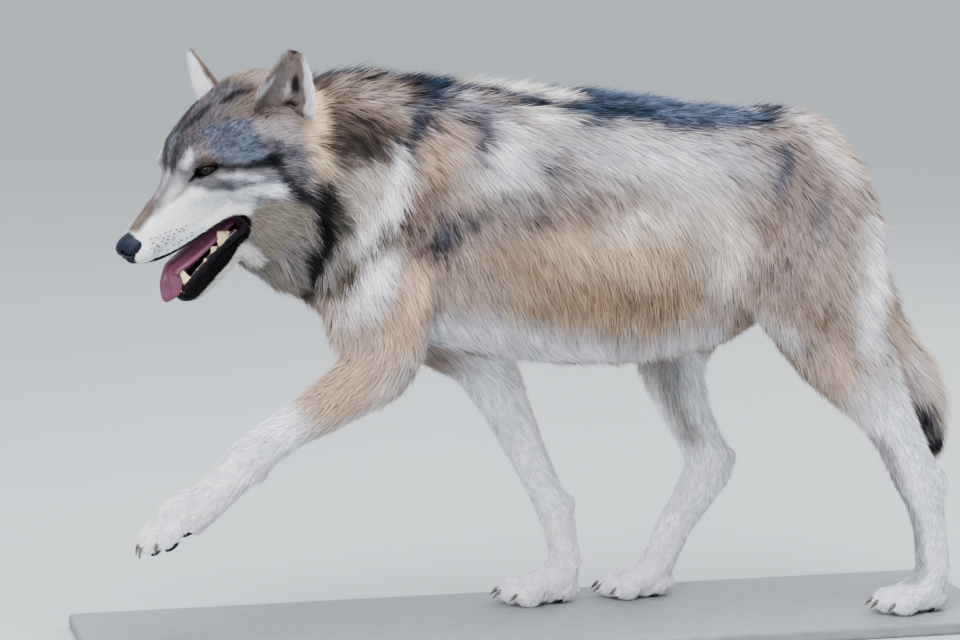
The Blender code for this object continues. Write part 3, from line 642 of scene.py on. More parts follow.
def lidRing(side, skin):
    # both lids of one eye: from the wet rim on the eyeball out to just under the skin
    gaze, across, up = eyeAxes()
    centre, steps, power = Vector(eyeForm["centre"]), lidForm["steps"], lidForm["squareness"]
    shape = bmesh.new()
    rings = []
    for extra, rise in lidForm["profile"]:
        ring = []
        for i in range(steps):
            angle = 2 * math.pi * i / steps
            c, s = math.cos(angle), math.sin(angle)
            tall = eyeForm["upper"] if s > 0 else eyeForm["lower"]
            reach = 1 / (abs(c / eyeForm["halfLength"]) ** power + abs(s / tall) ** power) ** (1 / power)
            spread = math.radians(reach + extra * (1 + lidForm["upperSpread"] * (s > 0)))
            way = gaze * math.cos(spread) + (across * c + up * s) * math.sin(spread)
            height = rise * (lidForm["upperRise"] if s > 0 else 1)
            ring.append(sideHead(side) @ (centre + way * (eyeForm["radius"] + height)))
        rings.append(ring)
    last = []
    for inner, point in zip(rings[-3], rings[-1]):
        outward = (point - inner).normalized()
        spot, normal, *rest = skin.find_nearest(point + outward * lidForm["reach"])
        last.append(spot - normal * lidForm["tuck"])
    rings.append(last)
    bridge(shape, [[shape.verts.new(point) for point in ring] for ring in rings])
    return worked(finished("lids", shape), [("SUBSURF", {"levels": 1})])


# The lie of the coat, in millimetres. Each row is a place, the way the hair runs there, its length, its lift
# in degrees, its width, the coat's depth and its region. Places beside the middle stand on both sides, with
# y measured outwards.
bodyLie = (
    ((-385, 0, 755), (1, 0, 0), 34, 20, 1.3, 10, "neck"),
    ((-330, 0, 765), (1, 0, 0), 42, 22, 1.5, 14, "neck"),
    ((-250, 0, 765), (1, 0, 0), 48, 22, 1.6, 16, "neck"),
    ((-150, 0, 755), (1, 0, 0), 50, 20, 1.6, 15, "back"), ((0, 0, 745), (1, 0, 0), 46, 15, 1.6, 13, "back"),
    ((150, 0, 735), (1, 0, 0), 44, 14, 1.6, 12, "back"),
    ((280, 0, 722), (1, 0, -0.1), 42, 15, 1.6, 12, "back"),
    ((385, 0, 685), (0.8, 0, -0.6), 40, 16, 1.6, 12, "rump"),
    ((-370, 75, 705), (0.8, 0.1, -0.5), 34, 22, 1.4, 12, "neck"),
    ((-330, 100, 660), (0.35, 0.05, -0.95), 44, 24, 1.5, 16, "neck"),
    ((-330, 105, 590), (0.25, 0.05, -0.95), 46, 24, 1.5, 17, "neck"),
    ((-260, 95, 700), (0.55, 0, -0.85), 48, 22, 1.6, 16, "neck"),
    ((-260, 108, 620), (0.15, 0, -1), 48, 22, 1.6, 16, "neck"),
    ((-270, 110, 540), (0.2, 0, -1), 48, 24, 1.6, 16, "neck"),
    ((-360, 60, 530), (0.4, 0.05, -0.9), 40, 22, 1.4, 13, "neck"),
    ((-370, 0, 500), (0.45, 0, -0.9), 36, 22, 1.3, 12, "neck"),
    ((-310, 30, 465), (0.6, 0, -0.8), 42, 22, 1.5, 14, "neck"),
    ((-270, 0, 430), (0.75, 0, -0.65), 42, 20, 1.5, 13, "chest"),
    ((-160, 80, 700), (0.65, 0.05, -0.75), 44, 18, 1.6, 14, "back"),
    ((0, 85, 690), (0.75, 0.1, -0.6), 44, 14, 1.6, 12, "back"),
    ((150, 80, 680), (0.72, 0.1, -0.62), 42, 13, 1.6, 11, "back"),
    ((280, 70, 675), (0.7, 0.1, -0.62), 40, 14, 1.6, 11, "rump"),
    ((-180, 105, 610), (0.38, 0.05, -0.95), 38, 14, 1.5, 11, "shoulder"),
    ((-190, 112, 530), (0.28, 0, -0.95), 34, 13, 1.5, 9, "shoulder"),
    ((-195, 118, 460), (0.25, 0, -0.95), 30, 12, 1.4, 8, "shoulder"),
    ((-110, 110, 580), (0.45, 0, -0.9), 38, 14, 1.6, 11, "shoulder"),
    ((-120, 108, 480), (0.35, 0, -0.95), 36, 14, 1.5, 10, "shoulder"),
    ((0, 118, 600), (0.5, 0, -0.85), 42, 14, 1.6, 11, "flank"),
    ((0, 118, 520), (0.32, 0, -0.95), 42, 15, 1.6, 11, "flank"),
    ((120, 118, 590), (0.45, 0, -0.9), 42, 14, 1.6, 11, "flank"),
    ((120, 115, 510), (0.15, 0, -1), 46, 17, 1.6, 12, "flank"),
    ((220, 100, 590), (0.42, 0, -0.9), 40, 14, 1.6, 11, "flank"),
    ((220, 98, 510), (0.05, 0, -1), 46, 17, 1.6, 12, "flank"),
    ((-50, 100, 445), (0.35, -0.1, -0.95), 40, 16, 1.6, 11, "flank"),
    ((60, 105, 445), (0.05, -0.05, -1), 48, 20, 1.6, 13, "flank"),
    ((150, 100, 450), (-0.1, 0, -1), 52, 22, 1.6, 14, "flank"),
    ((230, 80, 450), (-0.12, 0, -1), 48, 22, 1.6, 13, "flank"),
    ((-150, 30, 395), (0.9, 0, -0.3), 36, 15, 1.5, 11, "belly"),
    ((0, 30, 370), (0.95, 0, -0.25), 36, 14, 1.5, 12, "belly"),
    ((120, 30, 362), (0.95, 0, -0.25), 36, 14, 1.5, 12, "belly"),
    ((225, 30, 400), (0.85, 0, -0.2), 34, 14, 1.5, 11, "belly"),
    ((330, 90, 630), (0.5, 0.05, -0.85), 36, 13, 1.6, 11, "rump"),
    ((300, 95, 560), (0.35, 0, -0.95), 36, 13, 1.6, 10, "rump"),
    ((370, 112, 540), (0.25, 0, -0.95), 34, 14, 1.5, 10, "rump"),
    ((335, 112, 470), (0.35, 0, -0.95), 30, 12, 1.4, 8, "rump"),
    ((445, 75, 590), (0.45, 0.05, -0.9), 38, 17, 1.5, 11, "rump"),
    ((450, 90, 500), (0.3, 0.05, -0.95), 40, 20, 1.5, 12, "rump"),
    ((445, 40, 480), (0.2, 0, -1), 34, 16, 1.5, 10, "rump"),
    ((300, 40, 450), (0.5, 0, -0.9), 28, 13, 1.4, 8, "rump"),
)
# Down the middle of each limb: place, length, lift, width, depth
limbLie = {
    "foreleg_left": (
        ((-232, -85, 400), 28, 14, 1.3, 8), ((-275, -85, 355), 24, 14, 1.2, 6),
        ((-330, -84, 321), 18, 12, 1.1, 5), ((-385, -83, 287), 14, 11, 1, 4),
        ((-430, -83, 247), 12, 11, 1, 3.5), ((-472, -83, 207), 10, 12, 0.9, 3),
        ((-505, -83, 180), 9, 14, 0.8, 2.5), ((-530, -83, 158), 7, 14, 0.8, 2),
    ),
    "foreleg_right": (
        ((-120, 82, 420), 28, 14, 1.3, 8), ((-60, 82, 365), 24, 14, 1.2, 6),
        ((-30, 82, 305), 18, 12, 1.1, 5), ((0, 82, 240), 14, 11, 1, 4), ((32, 82, 175), 12, 11, 1, 3.5),
        ((55, 82, 105), 10, 12, 0.9, 3), ((55, 81, 65), 10, 14, 0.9, 3), ((20, 80, 42), 9, 14, 0.8, 2.5),
        ((-10, 80, 32), 7, 14, 0.8, 2),
    ),
    "hindleg_left": (
        ((386, -80, 420), 28, 14, 1.4, 8), ((418, -83, 362), 26, 15, 1.3, 7),
        ((452, -84, 312), 22, 14, 1.2, 6), ((482, -84, 262), 18, 13, 1.1, 5),
        ((510, -84, 205), 14, 12, 1, 4), ((530, -84, 145), 11, 11, 1, 3.5),
        ((537, -84, 85), 10, 12, 0.9, 3), ((520, -84, 45), 9, 14, 0.8, 2.5),
        ((480, -84, 34), 7, 14, 0.8, 2),
    ),
    "hindleg_right": (
        ((240, 80, 430), 28, 14, 1.4, 8), ((214, 83, 360), 26, 15, 1.3, 7),
        ((222, 84, 300), 22, 14, 1.2, 6), ((248, 84, 245), 18, 13, 1.1, 5), ((264, 84, 198), 14, 12, 1, 4),
        ((232, 84, 138), 11, 11, 1, 3.5), ((200, 86, 78), 10, 12, 0.9, 3), ((170, 88, 45), 9, 14, 0.8, 2.5),
        ((135, 88, 34), 7, 14, 0.8, 2),
    ),
    "tail": (
        ((400, 1, 635), 40, 20, 1.3, 10), ((428, 2, 580), 42, 14, 1.3, 10),
        ((450, 6, 520), 42, 13, 1.4, 10), ((464, 9, 460), 46, 15, 1.4, 9), ((480, 10, 400), 50, 19, 1.4, 8),
        ((505, 10, 350), 54, 23, 1.4, 7), ((530, 9, 300), 52, 22, 1.4, 7), ((548, 7, 255), 42, 16, 1.4, 6),
        ((560, 5, 220), 28, 10, 1.3, 2),
    ),
}
# On the head, in its own frame, on both sides
headLie = (
    ((20, 0, 0), (1, 0, 0.25), 3, 12, 0.5, 0.6, "face"),
    ((40, 0, 7), (1, 0.1, 0.25), 4, 12, 0.55, 1, "face"),
    ((75, 0, 20), (1, 0.1, 0.35), 5.5, 12, 0.6, 1.4, "face"),
    ((110, 0, 38), (1, 0.1, 0.5), 7, 13, 0.65, 1.8, "face"),
    ((140, 8, 66), (0.8, 0.1, 0.5), 9, 15, 0.7, 2.2, "face"),
    ((180, 15, 90), (0.95, 0.1, 0.25), 12, 17, 0.8, 3, "face"),
    ((230, 15, 100), (1, 0.05, 0), 18, 20, 1, 5, "face"),
    ((280, 0, 90), (1, 0, -0.1), 28, 22, 1.2, 8, "face"),
    ((30, 22, -20), (1, 0.2, -0.1), 4, 10, 0.5, 0.9, "face"),
    ((60, 31, -20), (1, 0.1, -0.1), 5, 10, 0.55, 1.2, "face"),
    ((100, 36, -15), (1, 0.2, -0.05), 6.5, 11, 0.6, 1.6, "face"),
    ((30, 20, -40), (0.9, 0.2, -0.4), 4, 10, 0.5, 0.9, "face"),
    ((60, 28, -42), (0.9, 0.1, -0.4), 5, 10, 0.55, 1, "face"),
    ((110, 36, -44), (0.95, 0.15, -0.25), 6.5, 11, 0.6, 1.4, "face"),
    ((150, 46, -45), (0.95, 0.25, -0.2), 9, 13, 0.7, 2, "face"),
    ((118, 34, 20), (0.9, 0.3, 0.35), 5.5, 10, 0.6, 1.4, "face"),
    ((130, 44, 6), (0.95, 0.3, -0.1), 6.5, 10, 0.6, 1.4, "face"),
    ((165, 60, 5), (0.9, 0.4, -0.2), 9, 13, 0.7, 2.4, "face"),
    ((140, 38, 52), (0.8, 0.4, 0.4), 6.5, 12, 0.65, 1.6, "face"),
    ((165, 50, 50), (0.9, 0.4, 0.1), 9, 14, 0.7, 2.2, "face"),
    ((185, 60, 48), (0.9, 0.35, -0.05), 11, 15, 0.8, 2.8, "face"),
    ((215, 70, 30), (0.85, 0.3, -0.35), 14, 17, 0.9, 4, "face"),
    ((200, 78, 0), (0.85, 0.35, -0.4), 14, 17, 0.9, 4, "face"),
    ((180, 72, -35), (0.85, 0.3, -0.4), 15, 18, 0.9, 4, "face"),
    ((215, 90, -35), (0.75, 0.3, -0.55), 24, 22, 1.1, 8, "cheek"),
    ((200, 86, -75), (0.65, 0.3, -0.7), 26, 24, 1.1, 9, "cheek"),
    ((175, 70, -85), (0.75, 0.2, -0.6), 19, 21, 1, 6, "cheek"),
    ((245, 104, -80), (0.65, 0.3, -0.75), 38, 27, 1.3, 14, "cheek"),
    ((236, 74, 38), (0.8, 0.3, 0.2), 8, 9, 0.8, 6, "face"),
    ((256, 88, 20), (0.85, 0.3, -0.35), 10, 10, 0.8, 7, "face"),
    ((278, 94, 24), (0.9, 0.1, -0.4), 14, 12, 0.9, 7, "face"),
    ((250, 98, -20), (0.8, 0.25, -0.55), 26, 22, 1.1, 10, "cheek"),
    ((275, 85, 30), (0.9, 0.1, -0.4), 28, 22, 1.2, 9, "cheek"),
    ((48, 8, -112), (0.9, 0.2, -0.35), 6.5, 16, 0.5, 0.8, "face"),
    ((75, 18, -118), (1, 0.15, -0.2), 9, 18, 0.6, 1.2, "face"),
    ((110, 22, -120), (1, 0.15, -0.25), 11, 20, 0.7, 1.5, "face"),
    ((150, 35, -112), (0.95, 0.15, -0.4), 14, 20, 0.8, 3, "face"),
    ((170, 10, -125), (0.85, 0, -0.5), 20, 21, 1.1, 6, "cheek"),
    ((200, 50, -115), (0.75, 0.15, -0.7), 28, 24, 1.2, 9, "cheek"),
)
earLie = {
    "length": 6.5, "innerLength": 9.0, "lift": 9, "width": 0.7, "depth": 0.2,
    "foot": 0.35, "footLength": 1.5,
}


def lieTable():
    # every guide in the model's frame: place, direction, and length, lift, width, depth and region
    spots, ways, sizes, regions = [], [], [], []

    def add(spot, way, size, region):
        spots.append(spot)
        ways.append(unit(np.array(way, float)))
        sizes.append(size)
        regions.append(region)

    for frameIn, table in ((world, bodyLie), (head, headLie)):
        for centre, (a, b, c), *size, region in table:
            x, y, z = metres(centre)
            for side in (left, right) if y > 0 else (right,):
                spot = moved([(x, side * y, z)], frameIn)[0]
                add(spot, turned([(a, side * b, c)], frameIn)[0], size, region)
    for name, rows in limbLie.items():
        centres = np.array([metres(row[0]) for row in rows])
        for i, (centre, *size) in enumerate(rows):
            along = centres[min(i + 1, len(rows) - 1)] - centres[max(i - 1, 0)]
            add(centres[i], along, size, "tail" if name == "tail" else "legs")
    return np.array(spots), np.array(ways), np.array(sizes), np.array(regions)


blendForm = {"softness": 0.006, "batch": 20000}


def spreadLie(points):
    # the guides blended at each point, nearer ones counting most, and the nearest one's region
    spots, ways, sizes, regions = lieTable()
    way, size, nearest = [], [], []
    for part in np.array_split(points, max(1, len(points) // blendForm["batch"])):
        distance = ((part[:, None, :] - spots[None]) ** 2).sum(2)
        weight = 1 / (distance + blendForm["softness"] ** 2) ** 2
        weight /= weight.sum(1, keepdims=True)
        way.append(weight @ ways)
        size.append(weight @ sizes)
        nearest.append(distance.argmin(1))
    return unit(np.concatenate(way)), np.concatenate(size), regions[np.concatenate(nearest)]


skinForm = {
    "weld": 1e-5, "swell": 0.0005, "voxel": 2.3 * mm, "bodySmoothing": 26, "lastSmoothing": 8,
    "neckSeam": (0.275, 0.225), "headReach": (0.14, 0.15), "pawReach": (0.085, 0.06),
    "faces": {"body": 70000, "paws": 16000, "head": 90000},
}


def headShare(points):
    # 1 on the head, 0 from the neck back
    inHead = moved(points, head.inverted())
    wide, tall = skinForm["headReach"]
    near = (np.abs(inHead[:, 1]) < wide) * (np.abs(inHead[:, 2] + 0.02) < tall)
    return softStep(inHead[:, 0], *skinForm["neckSeam"]) * near


def pawShare(points):
    share = np.zeros(len(points))
    for name in legNames:
        heel = np.array(pawForm[name][0])
        share = np.maximum(share, softStep(np.linalg.norm(points - heel, axis=1), *skinForm["pawReach"]))
    return share


def buildSkin():
    cage = joined("skin", [headCage(), *bodyMeshes(), pawMesh()])
    body = worked(cage, fuse(skinForm["voxel"], 2))
    points = vertexArray(body)
    fine = np.maximum(headShare(points), pawShare(points))
    onBody = {"factor": 0.5, "iterations": skinForm["bodySmoothing"], "vertex_group": "body"}
    steps = [("SMOOTH", onBody), ("SMOOTH", {"factor": 0.5, "iterations": 2})]
    body = worked(body, steps, {"body": 1 - fine})
    print("skin fused:", len(body.vertices), "points")

    # inside the solids by the coat's depth
    points, normals = vertexArray(body), vertexNormals(body)
    depth = spreadLie(points)[1][:, 3] * mm
    for turn in range(2):
        setVertices(body, points - normals * (depth * 0.5)[:, None])
        points, normals = vertexArray(body), vertexNormals(body)
    onBody["iterations"] = skinForm["lastSmoothing"]
    body = worked(body, [("SMOOTH", onBody)], {"body": 1 - fine})
    tree = BVHTree.FromPolygons([v.co for v in body.vertices], [p.vertices for p in body.polygons])
    lids = [lidRing(side, tree) for side in (left, right)]

    # fewer faces where long hair hides them
    body = worked(body, [("TRIANGULATE", {})])
    for part, kept in skinForm["faces"].items():
        points = vertexArray(body)
        onHead, onPaw = headShare(points) > 0.3, pawShare(points) > 0.3
        chosen = {"body": ~onHead & ~onPaw, "paws": onPaw & ~onHead, "head": onHead}[part]
        corners = np.zeros(len(body.loops), int)
        body.loops.foreach_get("vertex_index", corners)
        inside = chosen[corners.reshape(-1, 3)[:, 0]].sum()
        ratio = (len(body.polygons) - inside + min(kept, inside)) / len(body.polygons)
        thin = {"ratio": ratio, "use_collapse_triangulate": True, "vertex_group": "thinned"}
        body = worked(body, [("DECIMATE", thin)], {"thinned": chosen.astype(float)})
    print("skin thinned:", len(body.polygons), "faces")

    ears = [earSheet(name, side) for name, side in earSides]
    counts = [len(body.vertices), *(len(m.vertices) for m in ears), *(len(m.vertices) for m in lids)]
    kind = np.repeat(["body", "ear_left", "ear_right", "lids", "lids"], counts)
    return joined("skin", [body, *ears, *lids]), kind


def unwrap(piece):
    bpy.context.view_layer.objects.active = piece
    for other in bpy.context.selected_objects:
        other.select_set(False)
    piece.select_set(True)
    piece.data.uv_layers.new(name="OFBake")
    bpy.ops.object.mode_set(mode="EDIT")
    bpy.ops.mesh.select_all(action="SELECT")
    bpy.ops.uv.smart_project(angle_limit=math.radians(66), island_margin=0.002)
    bpy.ops.object.mode_set(mode="OBJECT")


# The shades of skin and coat, in screen values
shades = {
    "ground": (172, 157, 148), "ribGrey": (192, 187, 194), "flankGrey": (136, 130, 132),
    "ripple": (158, 136, 122), "warmTan": (204, 180, 158), "shaggy": (160, 134, 106),
    "belly": (218, 218, 226), "cream": (244, 236, 230), "navy": (52, 70, 98), "navyLight": (122, 130, 154),
    "darkSlate": (28, 40, 64), "smoke": (56, 62, 84), "shoulderTan": (184, 156, 138),
    "shoulderBrown": (124, 108, 102), "neckBrown": (74, 63, 56), "neckTan": (132, 113, 101),
    "orangeTan": (255, 224, 184), "charcoal": (7, 11, 16), "shoulderEdgeShade": (84, 74, 64),
    "ruffPale": (250, 248, 252), "ruffTan": (196, 184, 178), "armPeach": (226, 196, 178),
    "throat": (122, 118, 108), "olive": (138, 132, 120), "rumpPale": (222, 216, 218),
    "hipDark": (84, 90, 108), "thighGrey": (148, 134, 128), "thighBrown": (132, 112, 100),
    "tailGrey": (132, 134, 146), "white": (246, 244, 248), "legPale": (246, 248, 255),
    "legTan": (196, 164, 140), "tailTan": (208, 188, 172), "tailTip": (34, 40, 56),
    "muzzle": (255, 255, 255), "bridge": (206, 197, 202), "noseBrown": (118, 100, 92),
    "tearLine": (140, 114, 118), "innerEye": (184, 178, 184), "steel": (114, 121, 136),
    "eyeLine": (8, 16, 32), "cheekPale": (230, 234, 244), "underEye": (100, 100, 110),
    "forehead": (108, 103, 106), "foreheadPaleAndHighlight": (184, 200, 224), "crown": (120, 102, 94),
    "streak": (36, 34, 40), "browBrown": (98, 80, 74), "buff": (122, 113, 104), "underEar": (168, 158, 162),
    "grizzle": (112, 110, 118), "jaw": (218, 216, 214), "lipTan": (150, 124, 104), "rim": (3, 3, 4),
    "mouth": (46, 14, 24), "earBack": (136, 114, 100), "earInside": (150, 138, 136),
    "earDarkAndShade": (26, 20, 22), "earRim": (238, 234, 238), "earTop": (74, 58, 50), "headGrey": (140, 134, 136),
    "hip": (144, 128, 122), "muzzleShade": (164, 180, 208), "cheekGrey": (132, 138, 150),
    "ruffGrey": (150, 144, 142),
}
# Lines of colour, in millimetres: shade, strength, softness, share of dark-tipped hair, and the line's
# places, each with its radius. Each stands on both sides, with y measured outwards.
bodyMarks = (
    ("ribGrey", 0.85, 70, 0.24, ((-60, 100, 655, 45), (260, 80, 650, 45))),
    ("flankGrey", 0.75, 60, 0.4, ((-85, 107, 610, 28), (-40, 110, 585, 34))),
    ("flankGrey", 0.95, 50, 0.45, ((12, 104, 645, 16), (1, 115, 580, 30), (60, 116, 590, 12))),
    ("shoulderBrown", 0.6, 40, 0.35, ((50, 112, 612, 6), (110, 112, 622, 10), (190, 104, 622, 6))),
    ("warmTan", 0.9, 60, 0.1, ((20, 119, 545, 38), (150, 116, 535, 42))),
    ("ripple", 0.65, 45, 0.2, ((85, 113, 603, 10), (145, 115, 585, 10))),
    ("shoulderBrown", 0.85, 44, 0.45, ((10, 104, 650, 10), (2, 115, 580, 24), (50, 116, 600, 10))),
    ("ruffPale", 0.65, 60, 0.12, ((95, 98, 645, 20), (200, 90, 628, 24))),
    ("ruffPale", 0.55, 40, 0.08, ((80, 116, 560, 10), (170, 110, 575, 12))),
    ("cream", 0.9, 50, 0.04, ((215, 97, 585, 14), (248, 96, 530, 22), (234, 92, 475, 14))),
    ("shaggy", 0.8, 45, 0.14, ((-75, 108, 530, 20), (20, 108, 475, 22), (175, 104, 470, 18))),
    ("shaggy", 0.7, 30, 0.2, ((-60, 100, 460, 10), (50, 100, 445, 14), (150, 98, 452, 10))),
    ("belly", 0.95, 36, 0.02, ((-170, 60, 420, 30), (0, 60, 392, 44), (40, 60, 396, 34))),
    ("belly", 0.8, 36, 0.04, ((40, 60, 392, 30), (210, 60, 400, 30))),
    ("shaggy", 0.6, 30, 0.25, ((80, 96, 440, 10), (130, 94, 432, 12))),
    ("ruffGrey", 0.45, 24, 0.2, ((-40, 78, 412, 6), (60, 78, 410, 6))),
    ("navy", 0.96, 24, 0.75, ((28, 0, 745, 94), (83, 0, 742, 90), (146, 0, 737, 80), (218, 0, 730, 66),
        (296, 0, 720, 56))),
    ("navyLight", 0.88, 34, 0.6, ((120, 0, 748, 36), (190, 0, 738, 44), (270, 0, 724, 38))),
    ("navyLight", 0.92, 28, 0.55, ((150, 45, 722, 16), (215, 45, 716, 18), (285, 35, 708, 14))),
    ("navy", 0.9, 14, 0.8, ((60, 78, 702, 8), (150, 68, 699, 6), (270, 58, 690, 5))),
    ("cream", 0.7, 14, 0.2, ((62, 50, 734, 6), (70, 60, 728, 6))),
    ("darkSlate", 0.92, 14, 0.8, ((-150, 15, 752, 16), (-78, 29, 742, 10), (-32, 42, 734, 9),
        (20, 62, 720, 10))),
    ("cream", 0.92, 14, 0.03, ((-78, 4, 748, 13), (-26, 14, 743, 15), (24, 30, 735, 12))),
    ("cream", 0.96, 16, 0.02, ((-22, 60, 719, 13), (10, 76, 704, 14))),
    ("navyLight", 0.7, 30, 0.4, ((-125, 60, 722, 14), (-60, 62, 716, 12))),
    ("smoke", 0.9, 22, 0.6, ((-113, 60, 718, 9), (-96, 80, 692, 14), (-98, 92, 664, 10))),
    ("ruffPale", 0.9, 14, 0.02, ((-72, 77, 697, 8), (-50, 79, 696, 8))),
    ("ruffPale", 0.92, 14, 0.02, ((-74, 90, 670, 9), (-48, 92, 670, 9))),
    ("ruffPale", 0.92, 14, 0.02, ((-74, 100, 647, 8), (-40, 101, 649, 9))),
    ("ruffPale", 0.9, 16, 0.02, ((-74, 105, 622, 9), (-38, 106, 627, 11))),
    ("ruffPale", 0.65, 22, 0.1, ((-125, 45, 737, 8), (-108, 47, 736, 8))),
    ("shoulderTan", 0.85, 40, 0.36, ((-150, 88, 682, 18), (-160, 100, 648, 24))),
    ("shoulderBrown", 0.9, 44, 0.52, ((-170, 106, 618, 20), (-200, 110, 575, 22), (-175, 112, 530, 22))),
    ("smoke", 0.9, 26, 0.6, ((-136, 105, 578, 10), (-143, 105, 556, 16), (-158, 104, 534, 10))),
    ("neckTan", 0.9, 50, 0.52, ((-320, 50, 750, 30), (-180, 48, 742, 40))),
    ("ruffTan", 0.85, 24, 0.1, ((-272, 30, 762, 6), (-268, 52, 750, 8))),
    ("ruffTan", 0.85, 24, 0.1, ((-230, 34, 757, 6), (-226, 58, 742, 10))),
    ("ruffTan", 0.8, 24, 0.15, ((-196, 44, 742, 10), (-190, 68, 724, 10))),
    ("ruffGrey", 0.9, 40, 0.3, ((-268, 104, 630, 24), (-272, 108, 580, 24))),
    ("neckBrown", 0.95, 44, 0.6, ((-280, 80, 722, 22), (-256, 93, 692, 36), (-214, 92, 692, 30))),
    ("charcoal", 0.6, 30, 0.75, ((-262, 100, 676, 10), (-232, 100, 672, 10))),
    ("neckBrown", 0.94, 30, 0.5, ((-288, 98, 690, 14), (-278, 107, 650, 14))),
    ("darkSlate", 0.9, 22, 0.7, ((-370, 0, 770, 22), (-150, 0, 766, 30))),
    ("navy", 0.98, 20, 0.85, ((-140, 10, 755, 22), (-152, 52, 735, 17), (-166, 76, 708, 16),
        (-182, 88, 684, 13), (-197, 96, 660, 7))),
    ("shoulderBrown", 0.8, 26, 0.45, ((-186, 92, 678, 10), (-192, 100, 640, 8))),
    ("orangeTan", 1, 14, 0.02, ((-313, 50, 752, 12), (-312, 85, 722, 13), (-317, 104, 688, 11),
        (-311, 111, 656, 9), (-302, 113, 636, 6))),
    ("ruffTan", 0.85, 22, 0.1, ((-250, 104, 640, 16), (-264, 108, 585, 18))),
    ("ruffPale", 1, 18, 0, ((-206, 90, 675, 7), (-209, 101, 638, 13), (-218, 106, 604, 15),
        (-240, 111, 570, 12), (-266, 113, 542, 10))),
    ("throat", 0.85, 30, 0.3, ((-290, 108, 545, 14), (-300, 95, 490, 16))),
    ("olive", 0.85, 30, 0.2, ((-345, 100, 575, 26), (-345, 80, 520, 24))),
    ("throat", 0.92, 24, 0.45, ((-286, 112, 590, 10), (-280, 110, 560, 14), (-290, 104, 522, 18))),
    ("charcoal", 1, 18, 0.95, ((-308, 114, 632, 8), (-304, 112, 606, 14), (-305, 107, 572, 17),
        (-312, 99, 545, 17), (-318, 88, 520, 14), (-316, 68, 492, 12), (-330, 26, 471, 10))),
    ("ruffPale", 0.97, 24, 0, ((-230, 120, 520, 18), (-256, 121, 480, 22), (-280, 112, 462, 12))),
    # painted shade: a brownish dark line along the front edge of the shoulder, where it meets the neck
    ("shoulderEdgeShade", 0.95, 22, 0.55, ((-214, 108, 588, 7), (-236, 114, 556, 9), (-258, 117, 530, 10),
        (-281, 115, 506, 10), (-304, 104, 480, 8))),
    ("armPeach", 0.95, 36, 0.1, ((-180, 116, 505, 24), (-196, 121, 465, 28), (-205, 124, 420, 26))),
    ("cream", 0.85, 12, 0.05, ((298, 4, 716, 4), (300, 16, 711, 5))),
    ("cream", 0.6, 14, 0.2, ((78, 52, 734, 4), (86, 60, 728, 4))),
    ("cream", 0.45, 14, 0.2, ((190, 30, 732, 4), (200, 42, 724, 4))),
    ("neckBrown", 0.7, 24, 0.4, ((312, 0, 712, 12), (320, 26, 704, 12))),
    ("charcoal", 0.8, 14, 0.7, ((298, 36, 699, 6), (300, 42, 694, 6))),
    ("hip", 0.85, 50, 0.3, ((330, 80, 655, 30), (345, 95, 595, 36))),
    ("rumpPale", 0.9, 35, 0.05, ((345, 30, 705, 14), (370, 55, 675, 18), (410, 75, 630, 22))),
    ("hipDark", 0.92, 20, 0.55, ((315, 76, 666, 8), (311, 85, 636, 11), (306, 91, 603, 8))),
    ("thighBrown", 0.75, 30, 0.3, ((298, 93, 585, 8), (290, 97, 552, 14))),
    ("thighGrey", 0.85, 40, 0.3, ((322, 110, 545, 24), (310, 115, 480, 28))),
    ("hipDark", 0.65, 26, 0.4, ((364, 106, 578, 12), (358, 115, 530, 10))),
    ("thighBrown", 0.88, 26, 0.25, ((338, 122, 452, 12), (370, 126, 410, 14))),
    ("belly", 0.8, 26, 0.02, ((285, 90, 430, 10), (322, 105, 392, 12))),
    ("armPeach", 0.75, 40, 0.05, ((385, 120, 375, 18), (405, 120, 335, 16))),
    ("tailGrey", 0.85, 35, 0.25, ((430, 20, 620, 35), (446, 20, 570, 30))),
    ("white", 1, 32, 0, ((434, 85, 555, 18), (440, 98, 505, 28), (426, 118, 450, 24), (440, 116, 390, 20))),
    ("white", 0.9, 22, 0, ((-186, 104, 408, 10), (-178, 104, 384, 10))),
    ("navy", 0.96, 14, 0.9, ((-153, 40, 748, 9), (-170, 72, 714, 10), (-188, 88, 687, 7))),
    ("throat", 0.75, 22, 0.2, ((256, 60, 441, 12), (288, 50, 428, 14))),
)
